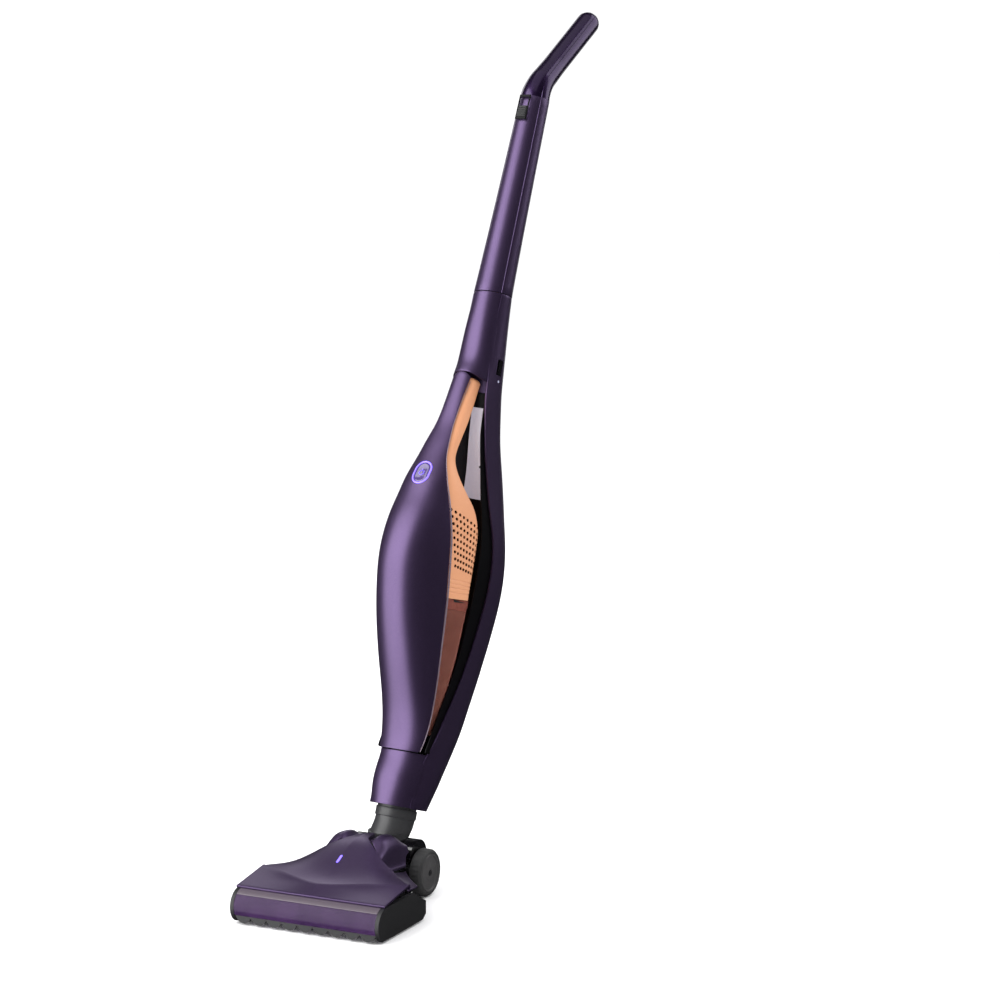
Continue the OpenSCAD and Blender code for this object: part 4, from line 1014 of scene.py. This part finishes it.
# Pale band along the window's upper edge, just outside the window's round
win_lo, win_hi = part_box("roller_window")
roll = Vector(joint["roller_spin"]["pos_m"])
win_band_r = (roll.y - win_lo.y) / MM + 0.25
band_arc = [(roll.y / MM + win_band_r * math.cos(b), roll.z / MM + win_band_r * math.sin(b))
            for b in np.radians(range(98, 133, 2))]
band_rows = [[(x, y, z) for y, z in band_arc] for x in np.linspace(win_lo.x / MM + 0.5, win_hi.x / MM - 0.5,
        60)]
win_band = sheet("window_band", band_rows, 0.4, 0.15)
finish_piece(win_band, band_m, "floor_head", "inner_plastic")

# Pipe of the elbow, from the neck down over the knuckle, bending forward a little
def pipe_ring(z, r, n=72):
    y = 2 - 10 * ease((46 - z) / 36)
    tip = 14 * ease((40 - z) / 34)
    c, t = math.cos(math.radians(tip)), math.sin(math.radians(tip))
    return [(r * math.cos(2 * math.pi * i / n), y + r * math.sin(2 * math.pi * i / n) * c,
             z + r * math.sin(2 * math.pi * i / n) * t) for i in range(n)]


# Heights and radii, with the raised collar between 46 and 58
pipe_steps = [(66, 25.0), (62, 25.0), (58, 25.0), (57.4, 26.2), (57, 26.4), (47, 26.4), (46.6, 26.2),
              (46, 25.2)]
pipe_steps += [(z, 25.2 + 0.5 * ease((46 - z) / 30)) for z in np.linspace(44, 16, 12)] + [(14, 25.9),
        (12, 25.7), (11.4, 25.0)]
pipe_obj = loft("elbow_pipe_smooth", [pipe_ring(z, r) for z, r in reversed(pipe_steps)])
thicken(pipe_obj, 3.0)
settle(pipe_obj, 30)
finish_piece(pipe_obj, elbow_black, "stick", "black_matte", "elbow_pipe")

# Wheels: ribbed tread, raised rim, dished face with a centre cap
for side, name in ((1, "wheel_right"), (-1, "wheel_left")):
    lo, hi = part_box(name)
    mid_y, mid_z, r = (lo.y + hi.y) / 2, (lo.z + hi.z) / 2, (hi.z - lo.z) / 2 / MM
    x0, x1 = (lo.x, hi.x) if side > 0 else (hi.x, lo.x)
    w = abs(x1 - x0) / MM
    centre = Vector((x0, mid_y, mid_z))
    tread = [(r - 6, 0.6), (r - 1.6, 0.2), (r - 0.4, 1.2), (r, 2.6), (r, w - 5), (r - 0.8, w - 3),
             (r - 2.4, w - 1.2),
             (r - 4.6, w - 0.6), (r - 6, w - 1.6)]
    tyre = lathe(name + "_tyre", tread, centre, (side, 0, 0), (0, 0, 1), 120,
                 lambda a, j: -0.5 if j in (3, 4) and int(a * 30 / math.pi + 0.5) % 2 else 0.0)
    settle(tyre, 40)
    finish_piece(tyre, tread_m, name, "wheel_tread", name)
    face = [(4.2, 0.8), (r - 5.8, 0.8), (r - 5.8, w - 1.4), (r - 6.6, w - 0.5), (r - 7.8, w - 0.4),
            (r - 8.6, w - 1.6),
            (r - 9.2, w - 2.2), (r - 14, w - 1.9), (8.5, w - 1.4), (7.6, w - 0.9), (5.0, w - 0.8),
            (4.2, w - 1.2)]
    disc = lathe(name + "_face", face, centre, (side, 0, 0), (0, 0, 1), 96)
    settle(disc, 35)
    finish_piece(disc, hub_m, name, "wheel_tread")
    button = [(0.05, w - 2.8), (3.9, w - 2.8), (3.9, w - 1.0), (3.2, w - 0.5), (1.6, w - 0.9),
              (0.05, w - 1.3)]
    cap = lathe(name + "_cap", button, centre, (side, 0, 0), (0, 0, 1), 48)
    settle(cap, 35)
    finish_piece(cap, spark_black, name, "wheel_tread")

# ---------------------------------------------------------------- materials for the CAD's own nodes
looks = {
    "switch_bezel": liner_m, "power_slider": spark_black, "switch_module": spark_black, "handle_wiring": wire,
    "release_button": gloss_black, "status_light": lamp_m, "neck_duct": spark_black, "duct_seal": rubber,
    "charge_contacts": brass, "frame_screws": steel, "elbow_pipe": elbow_black, "swivel_ring": elbow_black,
    "elbow_knuckle": gloss_black, "fan_motor": steel, "motor_shaft": steel, "impeller": steel,
    "fan_shroud": spark_black,
    "bin_bulkhead": spark_black, "filter_cone": fleece, "filter_frame": spark_black,
    "inlet_pipe": spark_black,
    "inlet_flap": rubber, "battery_cells": wrap, "circuit_board": board, "head_cover": plum,
    "base_plate": spark_black,
    "head_chamber": gloss_black, "roller_window": smoke, "bumper_comb": spark_black,
    "side_cap_left": spark_black,
    "side_cap_right": spark_black, "suction_duct": inner_m, "brush_motor": steel, "motor_pulley": brass,
    "drive_belt": rubber, "roller_core": inner_m, "roller_bristles": nylon, "roller_bushes": brass,
    "pivot_housings": gloss_black, "pivot_pins": steel,
    "wheel_axles": steel, "head_light": glow_m, "sole_pads": felt,
}
for node, look in looks.items():
    mesh = frame["nodes"][node].data
    mesh.materials.clear()
    mesh.materials.append(look)

# ---------------------------------------------------------------- stage, light, camera
floor_reach, floor_z = 30, -0.0005
corners = ((-1, -1), (1, -1), (1, 1), (-1, 1))
floor = make("floor", [(u * floor_reach, v * floor_reach, floor_z) for u, v in corners], [(0, 1, 2, 3)])
floor_m = material("floor_pale", (250, 250, 251), (252, 252, 253), 0.9, scale=4, specular=0.1)
floor.data.materials.append(floor_m)
floor.visible_glossy = False

# The camera and matt surfaces meet a white studio. Glossy ones meet a dark one, so they show only the lights.
world = bpy.data.worlds.new("studio")
bpy.context.scene.world = world
world.use_nodes = True
world.cycles.sampling_method = "NONE"
nodes, links = world.node_tree.nodes, world.node_tree.links
nodes.clear()
out = nodes.new("ShaderNodeOutputWorld")
mixer = nodes.new("ShaderNodeMixShader")
rays = nodes.new("ShaderNodeLightPath")
seen = nodes.new("ShaderNodeBackground")
seen.inputs["Color"].default_value = (1, 1, 1, 1)
seen.inputs["Strength"].default_value = 1.12
lit = nodes.new("ShaderNodeBackground")
lit.inputs["Color"].default_value = (0.9, 0.92, 1, 1)
lit.inputs["Strength"].default_value = 0.03
links.new(rays.outputs["Is Glossy Ray"], mixer.inputs["Fac"])
links.new(seen.outputs["Background"], mixer.inputs[1])
links.new(lit.outputs["Background"], mixer.inputs[2])
links.new(mixer.outputs["Shader"], out.inputs["Surface"])

middle = Vector((0.02, 0.2, 0.5))


def softbox(name, azimuth, height, distance, size_x, size_y, power, aim=middle):
    """azimuth: degrees to the right of the head's front, seen from above."""
    a = math.radians(azimuth)
    data = bpy.data.lights.new(name, "AREA")
    data.shape = "RECTANGLE"
    data.size, data.size_y = size_x, size_y
    data.energy = power
    o = bpy.data.objects.new(name, data)
    o.location = middle + Vector((math.sin(a) * distance, -math.cos(a) * distance, height - middle.z))
    o.rotation_euler = (aim - o.location).to_track_quat("-Z", "Y").to_euler()
    bpy.context.scene.collection.objects.link(o)


softbox("key_left", -38, 0.9, 2.2, 2.6, 4.6, 140)
softbox("rim_right", 138, 2.1, 2.3, 1.4, 2.6, 22)
softbox("back", -170, 1.3, 2.6, 1.4, 2.4, 10)
softbox("top", 0, 3.2, 0.3, 2.4, 2.4, 10)
softbox("head_sheen", -144, 1.5, 2.0, 1.3, 1.1, 6, Vector((0, -0.06, 0.07)))

cam_data = bpy.data.cameras.new("camera")
cam_data.sensor_width = 36.0
cam_data.lens = 89.1
cam_data.clip_start = 0.05
cam = bpy.data.objects.new("camera", cam_data)
cam.location = (1.467, -2.615, 0.892)
yaw, pitch = math.radians(26.0), math.radians(7.31)
cam.rotation_euler = (math.pi / 2 - pitch, 0, yaw)
bpy.context.scene.collection.objects.link(cam)
bpy.context.scene.camera = cam
bpy.context.scene.view_settings.view_transform = "Standard"
